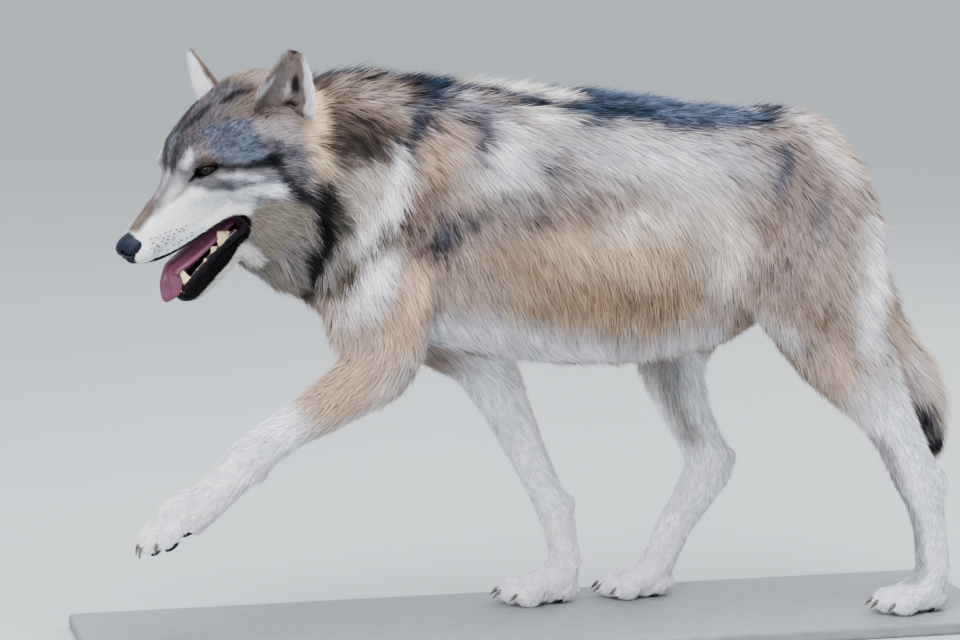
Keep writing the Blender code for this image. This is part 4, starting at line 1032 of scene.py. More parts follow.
# Lines along a limb's guides: limb, first and last guide, shade, strength, radius, softness, share of
# dark-tipped hair, and how far off the middle
limbMarks = (
    ("foreleg_left", 0, 7, "legPale", 0.97, 50, 30, 0, (0, 0, 0)),
    ("foreleg_right", 1, 8, "legPale", 0.97, 50, 30, 0, (0, 0, 0)),
    ("hindleg_left", 2, 8, "legPale", 0.92, 50, 40, 0, (0, 0, 0)),
    ("hindleg_right", 1, 8, "legPale", 0.92, 50, 30, 0, (0, 0, 0)),
    ("foreleg_left", 0, 2, "legTan", 0.88, 44, 34, 0.1, (16, -10, 24)),
    ("foreleg_right", 0, 3, "legTan", 0.7, 14, 30, 0.08, (30, 0, 0)),
    ("hindleg_left", 1, 4, "armPeach", 0.6, 14, 30, 0.05, (-30, 0, 0)),
    ("hindleg_right", 0, 3, "throat", 0.7, 20, 30, 0.2, (-20, -30, 0)),
    ("hindleg_left", 1, 3, "white", 0.85, 16, 30, 0, (45, 0, 10)),
    ("foreleg_left", 4, 7, "white", 0.9, 50, 30, 0, (0, 0, 0)),
    ("foreleg_right", 5, 8, "white", 0.8, 50, 30, 0, (0, 0, 0)),
    ("hindleg_right", 6, 8, "white", 0.6, 50, 30, 0, (0, 0, 0)),
    ("tail", 0, 8, "tailTan", 0.97, 70, 20, 0.15, (0, 0, 0)),
    ("tail", 1, 7, "thighBrown", 0.6, 12, 20, 0.3, (-26, 0, -10)),
    ("tail", 5, 7, "rumpPale", 0.65, 18, 14, 0.05, (12, -34, 4)),
    ("tail", 0, 4, "darkSlate", 0.98, 26, 22, 0.8, (38, 2, 14)),
    # partly grey fur and partly painted shade down the front of the near hind leg
    ("hindleg_left", 3, 6, "tailGrey", 0.6, 20, 10, 0.1, (-34, -6, -10)),
    ("tail", 4, 8, "darkSlate", 0.65, 18, 16, 0.8, (44, 6, 10)),
    ("tail", 6, 7, "tailTip", 0.96, 26, 14, 0.9, (0, -12, -14)),
)
# Lines on the head, in its own frame
headMarks = (
    ("headGrey", 1, 30, 0.3, ((60, 0, 0, 200), (280, 0, -10, 200))),
    ("crown", 0.95, 30, 0.5, ((210, 0, 80, 70), (280, 0, 70, 80))),
    ("forehead", 0.92, 20, 0.55, ((132, 0, 64, 30), (215, 22, 92, 34))),
    ("forehead", 0.9, 18, 0.55, ((148, 30, 68, 10), (170, 36, 74, 12), (205, 48, 74, 8))),
    # partly pale fur and partly painted highlight: a pale bluish line along the top ridge of the forehead
    ("foreheadPaleAndHighlight", 0.32, 16, 0.45, ((120, 0, 54, 4), (140, 0, 73, 4), (158, 0, 82, 2))),
    ("charcoal", 0.5, 9, 0.5, ((112, 9, 43, 4), (128, 10, 60, 5))),
    ("charcoal", 0.6, 6, 0.8, ((150, 7, 77, 2.5), (172, 11, 86, 3.5), (197, 16, 90, 4))),
    ("muzzle", 1, 10, 0, ((30, 18, -30, 34), (120, 34, -20, 36))),
    ("muzzle", 1, 12, 0, ((110, 36, -5, 20), (160, 54, -34, 18))),
    ("muzzleShade", 0.5, 16, 0.05, ((36, 22, -32, 7), (70, 28, -36, 7), (105, 32, -42, 4))),
    ("muzzleShade", 0.6, 20, 0.05, ((125, 38, -8, 6), (175, 64, -34, 8))),
    ("throat", 0.9, 24, 0.25, ((150, 28, -122, 6), (165, 38, -146, 18), (180, 40, -170, 20))),
    ("charcoal", 0.98, 18, 0.95, ((241, 110, -94, 13), (230, 104, -120, 15), (206, 84, -151, 13),
        (199, 66, -182, 11))),
    ("olive", 0.9, 22, 0.18, ((178, 72, -58, 18), (205, 94, -85, 26))),
    ("olive", 0.85, 22, 0.18, ((178, 75, -85, 20), (164, 50, -106, 18))),
    ("jaw", 1, 12, 0, ((45, 10, -112, 24), (145, 30, -112, 22))),
    ("underEar", 0.85, 20, 0.12, ((228, 70, 42, 12), (262, 78, 22, 16), (270, 89, 8, 14))),
    ("grizzle", 0.85, 20, 0.45, ((224, 80, 16, 10), (246, 96, -14, 16), (238, 100, -34, 12))),
    ("steel", 0.92, 18, 0.62, ((172, 45, 64, 12), (207, 60, 52, 15))),
    ("steel", 0.94, 14, 0.62, ((166, 55, 45, 11), (208, 71, 30, 13))),
    ("steel", 0.96, 8, 0.45, ((161, 58, 34, 4), (204, 75, 14, 7))),
    ("buff", 0.85, 12, 0.1, ((212, 46, 76, 8), (237, 49, 77, 10), (249, 55, 81, 8))),
    ("innerEye", 0.75, 12, 0.05, ((122, 31, 54, 6), (108, 22, 34, 9), (92, 22, 22, 8))),
    ("underEye", 0.9, 12, 0.25, ((126, 41, 16, 3), (137, 46, 5, 7), (156, 57, -4, 7))),
    ("cheekGrey", 0.85, 14, 0.25, ((156, 58, 8, 4), (185, 74, -10, 7), (205, 85, -22, 6))),
    ("cheekPale", 0.85, 7, 0.05, ((150, 54, 16, 2), (170, 67, 4, 3.5), (190, 77, -10, 4))),
    ("cheekPale", 1, 10, 0, ((160, 62, -16, 4), (182, 74, -24, 7), (205, 88, -38, 8))),
    ("eyeLine", 0.92, 10, 0.7, ((156, 58, 28, 3.6), (169, 63, 19, 3.8), (184, 71, 11, 4.5),
        (201, 77, 5, 7), (218, 82, 1, 9))),
    ("eyeLine", 0.8, 15, 0.65, ((218, 82, 2, 9), (219, 90, -19, 7.5), (219, 95, -39, 7.5),
        (222, 98, -56, 8.5))),
    ("eyeLine", 0.85, 16, 0.7, ((222, 98, -56, 9), (240, 107, -82, 13))),
    ("bridge", 0.8, 10, 0.1, ((41, 0, 6, 6), (108, 0, 40, 6))),
    ("noseBrown", 0.95, 9, 0.25, ((38, 6, 0, 10), (56, 6, 9, 8.5), (76, 4, 20, 3.5))),
    ("muzzle", 0.6, 20, 0.03, ((84, 19, 14, 4), (104, 24, 22, 4))),
    ("tearLine", 0.8, 3.5, 0, ((120, 36, 26, 0.8), (117, 38, 8, 0.8), (112, 38, -6, 0.5))),
    ("tearLine", 0.45, 8, 0.05, ((116, 34, 24, 2), (94, 26, 14, 1.5))),
    ("browBrown", 0.9, 8, 0.3, ((137, 45, 44, 4), (147, 50, 43, 5), (158, 56, 36, 3))),
    ("cheekPale", 0.84, 9, 0.12, ((135, 34, 58, 4.5), (129, 38, 52, 6), (121, 36, 45, 4.5))),
    ("streak", 0.85, 6, 0.6, ((160, 12, 81, 1.5), (176, 18, 85, 3), (200, 21, 89, 2.5))),
    ("charcoal", 0.92, 8, 0.8, ((210, 29, 87, 3), (236, 33, 89, 5.5), (254, 45, 92, 6.5),
        (264, 58, 94, 6))),
    ("streak", 0.55, 8, 0.5, ((133, 0, 67, 1), (170, 3, 86, 2))),
    ("lipTan", 0.55, 6, 0.1, ((170, 62, -56, 3), (162, 55, -78, 3))),
)


def shadeOf(name):
    return np.array(tone(*shades[name]))


def lineShare(points, places, soft):
    # how strongly a soft-edged line of changing radius covers each point
    most = np.zeros(len(points))
    for (*start, first), (*end, last) in zip(places, places[1:]):
        start = np.array(start)
        line = np.array(end) - start
        along = np.clip((points - start) @ line / max(line @ line, 1e-12), 0, 1)
        away = np.linalg.norm(points - start - along[:, None] * line, axis=1)
        most = np.maximum(most, softStep(first + (last - first) * along + soft / 2 - away, 0, soft))
    return most


def mirroredOut(points):
    # the same points with y measured outwards from the middle
    return np.column_stack([points[:, 0], np.abs(points[:, 1]), points[:, 2]])


def earPlace(points, name, side):
    # along the ear from foot to tip, across it from inner to outer edge, and the way it opens
    foot, tip, facing = (np.array(v) for v in earForm[name])
    axis = unit(tip - foot)
    facing = unit(facing - axis * (facing @ axis))
    across = np.cross(axis, facing)
    across = across if across[0] > 0 else -across
    away = moved(points, sideHead(side).inverted()) - foot
    share = away @ axis / np.linalg.norm(tip - foot)
    rows = np.array(earForm["rows"])
    reach = np.interp(share, rows[:, 0], (rows[:, 1] + rows[:, 2]) / 2)
    return share, away @ across / np.maximum(reach, 0.002), turned([axis, facing, across], sideHead(side))


mouthMarks = {
    "hollow": metres(((45, 0, -57, 19), (90, 0, -58, 22.5), (130, 0, -60, 26.5), (165, 0, -60, 30))),
    "cheek": metres(((120, 20, -62, 13), (152, 36, -60, 13), (163, 44, -60, 10.5))),
    "floor": metres(((-166, 0, -24, 16), (-105, 0, -24, 22.5), (-50, 0, -18, 30))),
    "soft": 0.003, "backEnd": 0.195,
}


def mouthShares(inHead, inJaw):
    # how far each point belongs to the mouth's hollow and to its black lips
    soft = mouthMarks["soft"]
    parts = [lineShare(inHead, mouthMarks["hollow"], soft), lineShare(inHead, mouthMarks["cheek"], soft)]
    parts.append(lineShare(inJaw, mouthMarks["floor"], soft))
    hollow = np.maximum.reduce(parts) * (inHead[:, 0] < mouthMarks["backEnd"])
    upper = lineShare(inHead, mouthForm["upperRim"], 0.0015)
    lower = lineShare(inJaw, mouthForm["lowerRim"], 0.002)
    outer = lineShare(inJaw, mouthForm["lowerSide"], 0.0035)
    return hollow, np.maximum.reduce([upper, lower, outer])


faceMarks = {
    "nose": metres(((10, 0, -18, 20.5), (23, 0, -24, 23.5))), "noseFoot": -0.0375,
    "innerCorner": metres(((117.5, 35, 25, 1.4), (123.5, 38.2, 28, 3), (132, 42.5, 30, 3.4))),
    "outerCorner": metres(((150, 54, 30, 3.2), (159, 59, 27, 2.2))),
    "rimSize": (0.0155, 0.0074), "rimDrop": 0.0004, "eyeReach": 0.022,
}


def eyeRims(smooth, kind):
    # how far each point belongs to the upper lid, to the black rims of the eye, and to its corners
    across, up = (np.array(v) for v in eyeAxes()[1:])
    fromEye = smooth - np.array(eyeForm["centre"])
    wide, tall = faceMarks["rimSize"]
    ring = np.hypot(fromEye @ across / wide, (fromEye @ up + faceMarks["rimDrop"]) / tall)
    near = np.linalg.norm(fromEye, axis=1) < faceMarks["eyeReach"]
    lid = softStep(ring, 1.75, 1.35) * near * (fromEye @ up > 0) * (kind == "lids")
    inner, outer = (lineShare(smooth, faceMarks[name], 0.0018) for name in ("innerCorner", "outerCorner"))
    corners = np.maximum(inner, outer)
    return lid, np.maximum(softStep(ring, 1.2, 1.02) * near, corners), corners


def earMarkings(points, normals, name, side):
    # an ear's colour, and how bare its inside is
    share, t, (axis, facing, across) = earPlace(points, name, side)
    front = softStep(normals @ facing, -0.2, 0.35)
    wobble = 0.1 * patchy(points, 0.012, 5)
    tint = np.tile(shadeOf("earBack"), (len(points), 1))

    def dab(shade, cover):
        tint[:] += (shadeOf(shade) - tint) * cover[:, None]

    def spot(middleAcross, middleUp, wide, tall, outer, inner):
        # 1 inside an oval of the ear's sheet, 0 beyond it
        away = np.hypot((t - middleAcross) / wide, (share - middleUp) / tall)
        return softStep(away + wobble, outer, inner)

    dab("earInside", front)
    ticking = patchy(points, 0.006, 6) + 0.8 * patchy(points, 0.002, 7)
    dab("earDarkAndShade", 0.5 * front * softStep(ticking, 0.2, 1.6))
    dab("buff", 0.8 * front * spot(-0.8, 0.12, 0.35, 0.22, 1.2, 0.6))
    # painted shade: the deep hollow of the cup and the slit of the ear's opening are painted dark; the slit
    # is also thinly haired so dark skin shows
    slit = spot(0.16 + (share - 0.15), 0.17, 0.26, 0.062, 1.3, 0.6)
    dab("earDarkAndShade", front * np.maximum(0.92 * spot(0.26, 0.47, 0.22, 0.18, 1.3, 0.5), slit))
    dab("cheekPale", 0.6 * front * spot(-0.02, 0.38, 0.055, 0.13, 1.2, 0.5))
    dab("cheekPale", 0.7 * front * spot(0.6 * (share - 0.35) - 0.72, 0.36, 0.13, 0.22, 1.2, 0.5))
    dab("earDarkAndShade", 0.8 * front * spot(-0.3, -0.01, 0.45, 0.035, 1.3, 0.6))
    if side == left:
        dab("earTop", softStep(-t + wobble, 0.8, 0.94) * softStep(share, 0.4, 0.6))
        dab("earTop", softStep(share + 0.25 * wobble, 0.93, 0.985))
        dab("earRim", softStep(t + wobble, 0.62, 0.76) * softStep(share, 0.95, 0.78))
    else:
        dab("streak", 0.6 * softStep(np.abs(-t + wobble - 0.3), 0.16, 0.04) * softStep(share, 0.8, 0.5))
        dab("earInside", 0.35 * softStep(-t + wobble, 0.3, 0.5))
        dab("earRim", 0.75 * softStep(-t + wobble, 0.45, 0.62))
        dab("earTop", 0.6 * softStep(share + 0.25 * wobble, 0.88, 0.98))
    return tint, 0.5 * front * slit


markingForm = {  # how far and how finely the markings wander, with the first seed
    "body": ((0.007, 0.045, 1), (0.004, 0.015, 4)), "head": (0.0016, 0.01, 7),
    "ground": 0.18, "face": 0.15, "ear": 0.12, "contrast": 1.22,
    # where the head's own colours end: x, z from the middle, and y outwards
    "headEnd": (0.3, 0.24), "headMiddle": -0.02, "headHeight": 0.16, "headSide": (0.112, 0.1),
    "uneven": ((0.08, 0.022, 12), (0.06, 0.008, 13)), "blotch": (0.03, 14), "blotchDark": 0.05,
    "blotchTips": 0.2, "fineTips": (0.14, 0.01, 15), "leastTips": 0.09,
}


def markings(points, normals, kind):
    # colour, share of dark-tipped hair, and how bare the skin is, at each point
    wander = [size * patchyVectors(points, grain, seed) for size, grain, seed in markingForm["body"]]
    rough = points + wander[0] + wander[1]
    onBody = mirroredOut(rough)
    colour = np.tile(shadeOf("ground"), (len(points), 1))
    tips = np.full(len(points), markingForm["ground"])

    def paint(shade, share, level=None):
        colour[:] += (shadeOf(shade) - colour) * share[:, None]
        if level is not None:
            tips[:] += (level - tips) * share

    for shade, strength, soft, level, places in bodyMarks:
        paint(shade, strength * lineShare(onBody, metres(places), metres(soft)), level)
    for limb, first, last, shade, strength, radius, soft, level, off in limbMarks:
        middles = [np.array(metres(row[0])) + metres(off) for row in limbLie[limb][first:last + 1]]
        places = [(*middle, metres(radius)) for middle in middles]
        paint(shade, strength * lineShare(rough, places, metres(soft)), level)
    bodyColour, bodyTips = colour.copy(), tips.copy()

    inHead = moved(points, head.inverted())
    size, grain, seed = markingForm["head"]
    onHead = mirroredOut(inHead + size * patchyVectors(inHead, grain, seed))
    tips[:] = markingForm["face"]
    for shade, strength, soft, level, places in headMarks:
        paint(shade, strength * lineShare(onHead, metres(places), metres(soft)), level)
    form = markingForm
    whole = softStep(inHead[:, 0], *form["headEnd"])
    whole = whole * (np.abs(inHead[:, 2] - form["headMiddle"]) < form["headHeight"])
    whole = whole * softStep(np.abs(inHead[:, 1]), *form["headSide"])
    colour += (bodyColour - colour) * (1 - whole)[:, None]
    tips += (bodyTips - tips) * (1 - whole)
    blotch = patchy(points, *form["blotch"])
    uneven = sum(strength * patchy(points, grain, seed) for strength, grain, seed in form["uneven"])
    colour *= 1 + (uneven - form["blotchDark"] * blotch)[:, None]
    strength, grain, seed = form["fineTips"]
    change = form["blotchTips"] * blotch + strength * patchy(points, grain, seed)
    tips += change * (tips > form["leastTips"])

    # the black of the nose, the lips and the rims of the eyes, and the near-black of the mouth's hollow,
    # partly its own dark skin and partly painted shade inside the mouth
    smooth = mirroredOut(inHead)
    hollow, lips = mouthShares(smooth, mirroredOut(moved(points, jaw.inverted())))
    noseShare = lineShare(smooth, faceMarks["nose"], 0.0015) * (smooth[:, 2] > faceMarks["noseFoot"])
    paint("rim", np.maximum.reduce([lips, hollow, noseShare]))
    # painted shade: dark maroon over the black in the mouth's hollow
    paint("mouth", 0.8 * hollow * (1 - lips) * (0.6 + 0.4 * patchy(inHead, 0.006, 3)))
    lid, rims, corners = eyeRims(smooth, kind)
    paint("browBrown", 0.9 * lid)
    paint("rim", rims)
    bare = np.maximum.reduce([lips, hollow, noseShare, rims * (kind == "lids"), corners])
    for name, side in earSides:
        here = kind == name
        colour[here], bare[here] = earMarkings(points[here], normals[here], name, side)
        tips[here] = markingForm["ear"]
    return np.clip(colour, 0, 1) ** markingForm["contrast"], np.clip(tips, 0, 1), np.clip(bare, 0, 1)


# The coat's tufts grow in locks. Places in a row are its strength, size and first seed.
coatForm = {
    "tufts": {"long": 270000, "short": 85000, "face": 135000}, "mostFaces": 196000, "patch": 0.003,
    "seed": 11, "seenAhead": 0.55, "regions": {
        "long": ("neck", "back", "flank", "belly", "rump", "shoulder", "chest", "tail"),
        "short": ("legs",), "face": ("face", "cheek", "ear"),
    },
    "clump": {"long": 0.008, "short": 0.0045, "face": 0.0028},
    "gather": {"long": 0.5, "short": 0.3, "face": 0.2}, "roll": 0.34, "stray": 0.1,
    "width": {"long": 0.8, "short": 0.85, "face": 0.85},
    "levels": (0, 0.52, 1.0), "taper": (0.9, 0.85), "full": (0.72, 1.05), "widths": (0.6, 1.15),
    "gathers": (0.4, 1.3), "gatherBend": 1.3, "strayBend": 1.6, "quickShare": 6,
    "faceLengths": (4, 30), "faceFiner": 0.9,  # tufts stand closer where the face's hair is short
}
tintForm = {  # parts of each tuft's own and of its lock's, and the share of dark-tipped hair that each needs
    "dark": (0.35, 0.65), "pale": (0.42, 0.58), "first": 0.1, "span": 0.85, "edge": 5,
    "darkness": (0.65, 1.0),
    "faceSpread": (0.22, 0.78), "faceTips": (0.1, 0.4), "tipsLift": 0.3, "undark": 0.3,
}
lockForm = {
    "arch": 0.45, "sink": 0.1, "rise": 0.5, "swirls": ((0.22, 0.05, 21), (0.16, 0.018, 24)),
    "faceSwirl": 0.5,
    "length": (0.16, 0.03, 27), "lengthSpread": 0.1, "lengthRange": (0.5, 1.3),
    "lift": (0.25, 0.04, 28), "liftSpread": 0.18, "liftRange": (0.05, 0.7),
    # the cosines between the normals of a tuft and its lock: looked into below, taken instead, least kept
    "doubted": 0.3, "taken": 0.4, "least": 0.2, "tried": 12,
}


class SkinMap:
    # the skin's triangles with everything that a tuft takes from its root
    def __init__(self, piece, kind):
        mesh = piece.data
        mesh.calc_loop_triangles()
        count = len(mesh.loop_triangles)
        self.corners = np.zeros(count * 3, int)
        loops = np.zeros(count * 3, int)
        mesh.loop_triangles.foreach_get("vertices", self.corners)
        mesh.loop_triangles.foreach_get("loops", loops)
        self.corners = self.corners.reshape(-1, 3)
        uv = np.zeros(len(mesh.loops) * 2)
        mesh.uv_layers["OFBake"].data.foreach_get("uv", uv)
        self.uv = uv.reshape(-1, 2)[loops].reshape(-1, 3, 2)
        self.points, self.normals = vertexArray(mesh), vertexNormals(mesh)
        self.tree = BVHTree.FromPolygons([Vector(p) for p in self.points], self.corners.tolist())
        a, b, c = (self.points[self.corners[:, i]] for i in range(3))
        self.area = np.linalg.norm(np.cross(b - a, c - a), axis=1) / 2
        self.way, self.size, self.region = spreadLie(self.points)
        self.region = self.region.astype("<U10")
        for name, side in earSides:
            self.layEar(kind == name, name, side)
        # a tuft takes its colour from where its outer half is seen
        size = self.size * mm
        lift = self.normals * size[:, 3:4]
        lying = unit(self.way - self.normals * (self.way * self.normals).sum(1, keepdims=True))
        ahead = lying * (coatForm["seenAhead"] * size[:, :1] * (self.region != "ear")[:, None])
        self.skinMarks = markings(self.points + lift, self.normals, kind)
        self.colour, self.tips, rest = markings(self.points + lift + ahead, self.normals, kind)
        self.bare = self.skinMarks[2]

    def layEar(self, here, name, side):
        # hair runs up an ear's back and from its middle outwards inside
        share, t, (axis, facing, across) = earPlace(self.points[here], name, side)
        front = softStep(self.normals[here] @ facing, -0.2, 0.35)
        lean = np.where(front[:, None] > 0.5, np.sign(t + 0.05)[:, None] * across * 0.5, 0)
        self.way[here] = unit(axis + lean)
        length = earLie["length"] + (earLie["innerLength"] - earLie["length"]) * front
        length *= np.where(share < earLie["foot"], earLie["footLength"], 1.0)
        rest = [np.full(here.sum(), earLie[key]) for key in ("lift", "width", "depth")]
        self.size[here] = np.column_stack([length, *rest])
        self.region[here] = "ear"

    def at(self, faces, weights, values):
        # values of the vertices blended at places on the triangles
        picked = values[self.corners[faces]]
        return np.einsum("ij,ij...->i...", weights, picked)


def scatter(skin, rng, wanted, density):
    # even random places on the triangles
    shares = np.cumsum(skin.area * density)
    marks = (np.arange(wanted) + rng.random(wanted)) / wanted * shares[-1]
    faces = np.minimum(np.searchsorted(shares, marks), len(shares) - 1)
    a, b = rng.random(wanted), rng.random(wanted)
    flip = a + b > 1
    a, b = np.where(flip, 1 - a, a), np.where(flip, 1 - b, b)
    return faces, np.column_stack([1 - a - b, a, b])


def walkLocks(skin, roots, normals, ways, lengths, lifts):
    # each lock's path over the skin in three steps, rising at its root and lying down towards its tip
    path = [roots]
    point, normal = roots.copy(), normals.copy()
    way = unit(ways - normals * (ways * normals).sum(1, keepdims=True))
    arch = lockForm["arch"]
    for step in (1, 2, 3):
        share = step / 3
        height = lengths * np.sin(lifts) * ((1 + arch) * share - arch * share**2)
        point = point + way * (lengths / 3 * np.cos(lifts))[:, None]
        found = [skin.tree.find_nearest(Vector(p)) for p in point]
        spot = np.array([f[0] for f in found])
        normal = unit(0.5 * normal + 0.5 * np.array([f[1] for f in found]))
        rise = height - ((point - spot) * normal).sum(1)
        rise = np.clip(rise, -lockForm["sink"] * lengths, lockForm["rise"] * lengths)
        point = point + normal * rise[:, None]
        path.append(point)
        way = unit(way - normal * (way * normal).sum(1, keepdims=True))
    return np.stack(path, 1)


def growLocks(skin, rng, part, share):
    # the roots, normals, lengths and paths of the locks of one part of the coat
    count = int((skin.area * (share > 0)).sum() / coatForm["clump"][part] ** 2)
    faces, weights = scatter(skin, rng, count, share)
    root = skin.at(faces, weights, skin.points)
    normal = unit(skin.at(faces, weights, skin.normals))
    size = skin.at(faces, weights, skin.size)
    swirl = sum(strength * patchyVectors(root, grain, seed) for strength, grain, seed in lockForm["swirls"])
    swirl = swirl * (lockForm["faceSwirl"] if part == "face" else 1.0)
    way = unit(skin.at(faces, weights, skin.way) + swirl)
    strength, grain, seed = lockForm["length"]
    change = strength * patchy(root, grain, seed) + lockForm["lengthSpread"] * rng.standard_normal(count)
    length = size[:, 0] * mm * np.clip(1 + change, *lockForm["lengthRange"])
    strength, grain, seed = lockForm["lift"]
    change = strength * patchy(root, grain, seed) + lockForm["liftSpread"] * rng.standard_normal(count)
    lift = np.clip(np.radians(size[:, 1] * (1 + change)), *lockForm["liftRange"])
    return root, normal, length, walkLocks(skin, root, normal, way, length, lift)


def lockOf(root, normal, lockRoot, lockNormal):
    # each tuft's lock: the nearest one on the same side of the skin
    lookup = KDTree(len(lockRoot))
    for i, spot in enumerate(lockRoot):
        lookup.insert(spot, i)
    lookup.balance()
    near = np.array([lookup.find(spot)[1] for spot in root])
    doubted = np.flatnonzero((lockNormal[near] * normal).sum(1) < lockForm["doubted"])
    for i in doubted:
        for spot, index, away in lookup.find_n(root[i], lockForm["tried"]):
            if lockNormal[index] @ normal[i] > lockForm["taken"]:
                near[i] = index
                break
    return near, (lockNormal[near] * normal).sum(1) > lockForm["least"]


def growPart(skin, rng, part, regions):
    # roots, rows of points, half widths and colours of all the tufts of one part of the coat
    chosen = np.isin(skin.region, regions)
    share = (chosen * (1 - skin.bare))[skin.corners].mean(1)
    if part == "face":
        finer = 1.0 / np.clip(skin.size[:, 0], *coatForm["faceLengths"]) ** coatForm["faceFiner"]
        share = share * finer[skin.corners].mean(1)
    wanted = coatForm["tufts"][part] // 1
    lockRoot, lockNormal, lockLength, paths = growLocks(skin, rng, part, share)
    faces, weights = scatter(skin, rng, wanted, share)
    root = skin.at(faces, weights, skin.points)
    normal = unit(skin.at(faces, weights, skin.normals))
    near, kept = lockOf(root, normal, lockRoot, lockNormal)
    faces, weights, root, normal, near = faces[kept], weights[kept], root[kept], normal[kept], near[kept]
    count = len(root)

    full = rng.uniform(*coatForm["full"], count)
    gather = coatForm["gather"][part] * rng.uniform(*coatForm["gathers"], count)
    off = root - lockRoot[near]
    stray = rng.standard_normal((count, 3)) * coatForm["stray"] * lockLength[near][:, None]
    rows = []
    for level in coatForm["levels"]:
        steps = np.clip(level * full, 0, 1) * 3
        low = np.minimum(steps.astype(int), 2)
        before, after = paths[near, low], paths[near, low + 1]
        away = before + (after - before) * (steps - low)[:, None] - paths[near, 0]
        pull = off * (gather * level ** coatForm["gatherBend"])[:, None]
        rows.append(root + away - pull + stray * level ** coatForm["strayBend"])
    rows = np.stack(rows, 1)

    across = unit(np.cross(unit(rows[:, -1] - rows[:, 0]), normal))
    roll = rng.standard_normal(count) * coatForm["roll"]
    across = across * np.cos(roll)[:, None] + normal * np.sin(roll)[:, None]
    width = skin.at(faces, weights, skin.size[:, 2]) * mm * rng.uniform(*coatForm["widths"], count)
    tips = skin.at(faces, weights, skin.tips)
    together = rng.random((len(lockRoot), 2))[near]
    own, shared = tintForm["dark"]
    luck = own * rng.random(count) + shared * together[:, 0]
    dark = np.clip((tips - tintForm["first"] - tintForm["span"] * luck) * tintForm["edge"] + 0.5, 0, 1)
    dark = dark * rng.uniform(*tintForm["darkness"], count)
    own, shared = tintForm["pale"]
    chance = own * rng.random(count) + shared * together[:, 1]
    if part == "face":
        least, more = tintForm["faceSpread"]
        chance = 0.5 + (chance - 0.5) * (least + more * softStep(tips, *tintForm["faceTips"]))
    chance = chance + tintForm["tipsLift"] * tips * (dark < tintForm["undark"])
    return {
        "rows": rows, "across": across, "width": width * coatForm["width"][part] / 2, "where": root,
        "uv": np.einsum("ij,ijk->ik", weights, skin.uv[faces]), "side": root[:, 1] >= 0,
        "colour": skin.at(faces, weights, skin.colour), "dark": dark, "chance": chance,
    }


def tuftMesh(name, grown, chosen):
    # the chosen tufts as one mesh of flat tapered blades, each of a four-sided face and a pointed one
    rows, across = grown["rows"][chosen], grown["across"][chosen]
    count, size = len(rows), 5
    taper = np.array(coatForm["taper"])
    offset = across[:, None, :] * grown["width"][chosen][:, None, None] * taper[None, :, None]
    points = np.empty((count, size, 3))
    points[:, 0:-1:2] = rows[:, :-1] - offset
    points[:, 1:-1:2] = rows[:, :-1] + offset
    points[:, -1] = rows[:, -1]
    loops = (np.arange(count) * size)[:, None] + np.array([0, 1, 3, 2, 2, 3, 4])[None]
    mesh = bpy.data.meshes.new(name)
    mesh.vertices.add(count * size)
    mesh.loops.add(loops.size)
    mesh.polygons.add(count * 2)
    mesh.vertices.foreach_set("co", points.astype(np.float32).ravel())
    mesh.loops.foreach_set("vertex_index", loops.astype(np.int32).ravel())
    starts = (np.arange(count) * 7)[:, None] + np.array([0, 4])[None]
    mesh.polygons.foreach_set("loop_start", starts.astype(np.int32).ravel())
    mesh.update(calc_edges=True)

    along = np.broadcast_to(np.repeat(coatForm["levels"], (2, 2, 1)), (count, size))
    aside = np.broadcast_to((-0.5, 0.5, -0.5, 0.5, 0), (count, size))
    uv = grown["uv"][chosen][:, None, :] + np.stack([aside, along - 0.5], 2) * coatForm["patch"]
    layer = mesh.uv_layers.new(name="OFBake")
    layer.data.foreach_set("uv", uv.reshape(-1, 2)[loops.ravel()].astype(np.float32).ravel())
    values = np.ones((count, size, 4))
    values[:, :, :3] = grown["colour"][chosen][:, None, :]
    setColours(mesh, "marking", values)
    values[:, :, 0] = along
    values[:, :, 1] = grown["dark"][chosen][:, None]
    values[:, :, 2] = grown["chance"][chosen][:, None]
    setColours(mesh, "strand", values)
    return mesh


def hairFinish():
    # darker at the root, partly the darker underfur and partly painted shade deep in the coat, the marking's
    # shade along it, and dark at the tip where the coat is grizzled
    paint = Finish("wolfHair", Roughness=0.66, Specular_IOR_Level=0.08,
                   Sheen_Weight=0.05, Sheen_Roughness=0.5)
    along, dark, chance = paint.parts(paint.attribute("strand"))
    shade = paint.attribute("marking")
    brown = paint.mix(0.4 * chance, shade, paint.mix(1.0, shade, tone(234, 216, 200), "MULTIPLY"))
    light = 0.56 + 0.86 * chance
    # painted shade: each tuft is darkened towards its root, where the coat shades itself
    rootShade = paint.range(along, 0.0, 0.45, 0.66, 1.0)
    grey = paint.node("ShaderNodeCombineColor", {}, {channel: light * rootShade for channel in range(3)})
    body = paint.mix(1.0, brown, grey, "MULTIPLY")
    band = dark * paint.range(along, 0.3, 0.72)
    black = paint.mix(1.0, shade, tone(74, 76, 88), "MULTIPLY")
    return paint.wear(Base_Color=paint.mix(band, body, black))


def buildCoat(piece, kind):
    skin = SkinMap(piece, kind)
    print("skin mapped")
    rng = np.random.default_rng(coatForm["seed"])
    finish = hairFinish()
    made = 0
    for part, regions in coatForm["regions"].items():
        grown = growPart(skin, rng, part, regions)
        faces = 2 * len(coatForm["levels"]) - 3
        limit = coatForm["mostFaces"] // faces
        order = np.lexsort((grown["where"][:, 0], grown["side"]))
        for number, chosen in enumerate(np.array_split(order, math.ceil(len(order) / limit))):
            name = f"coat_{part}_{number + 1}"
            place(name, tuftMesh(name, grown, chosen), finish)
            made += len(chosen) * faces
        print("coat", part, len(order), "tufts")
    print("coat triangles", made)
    return skin


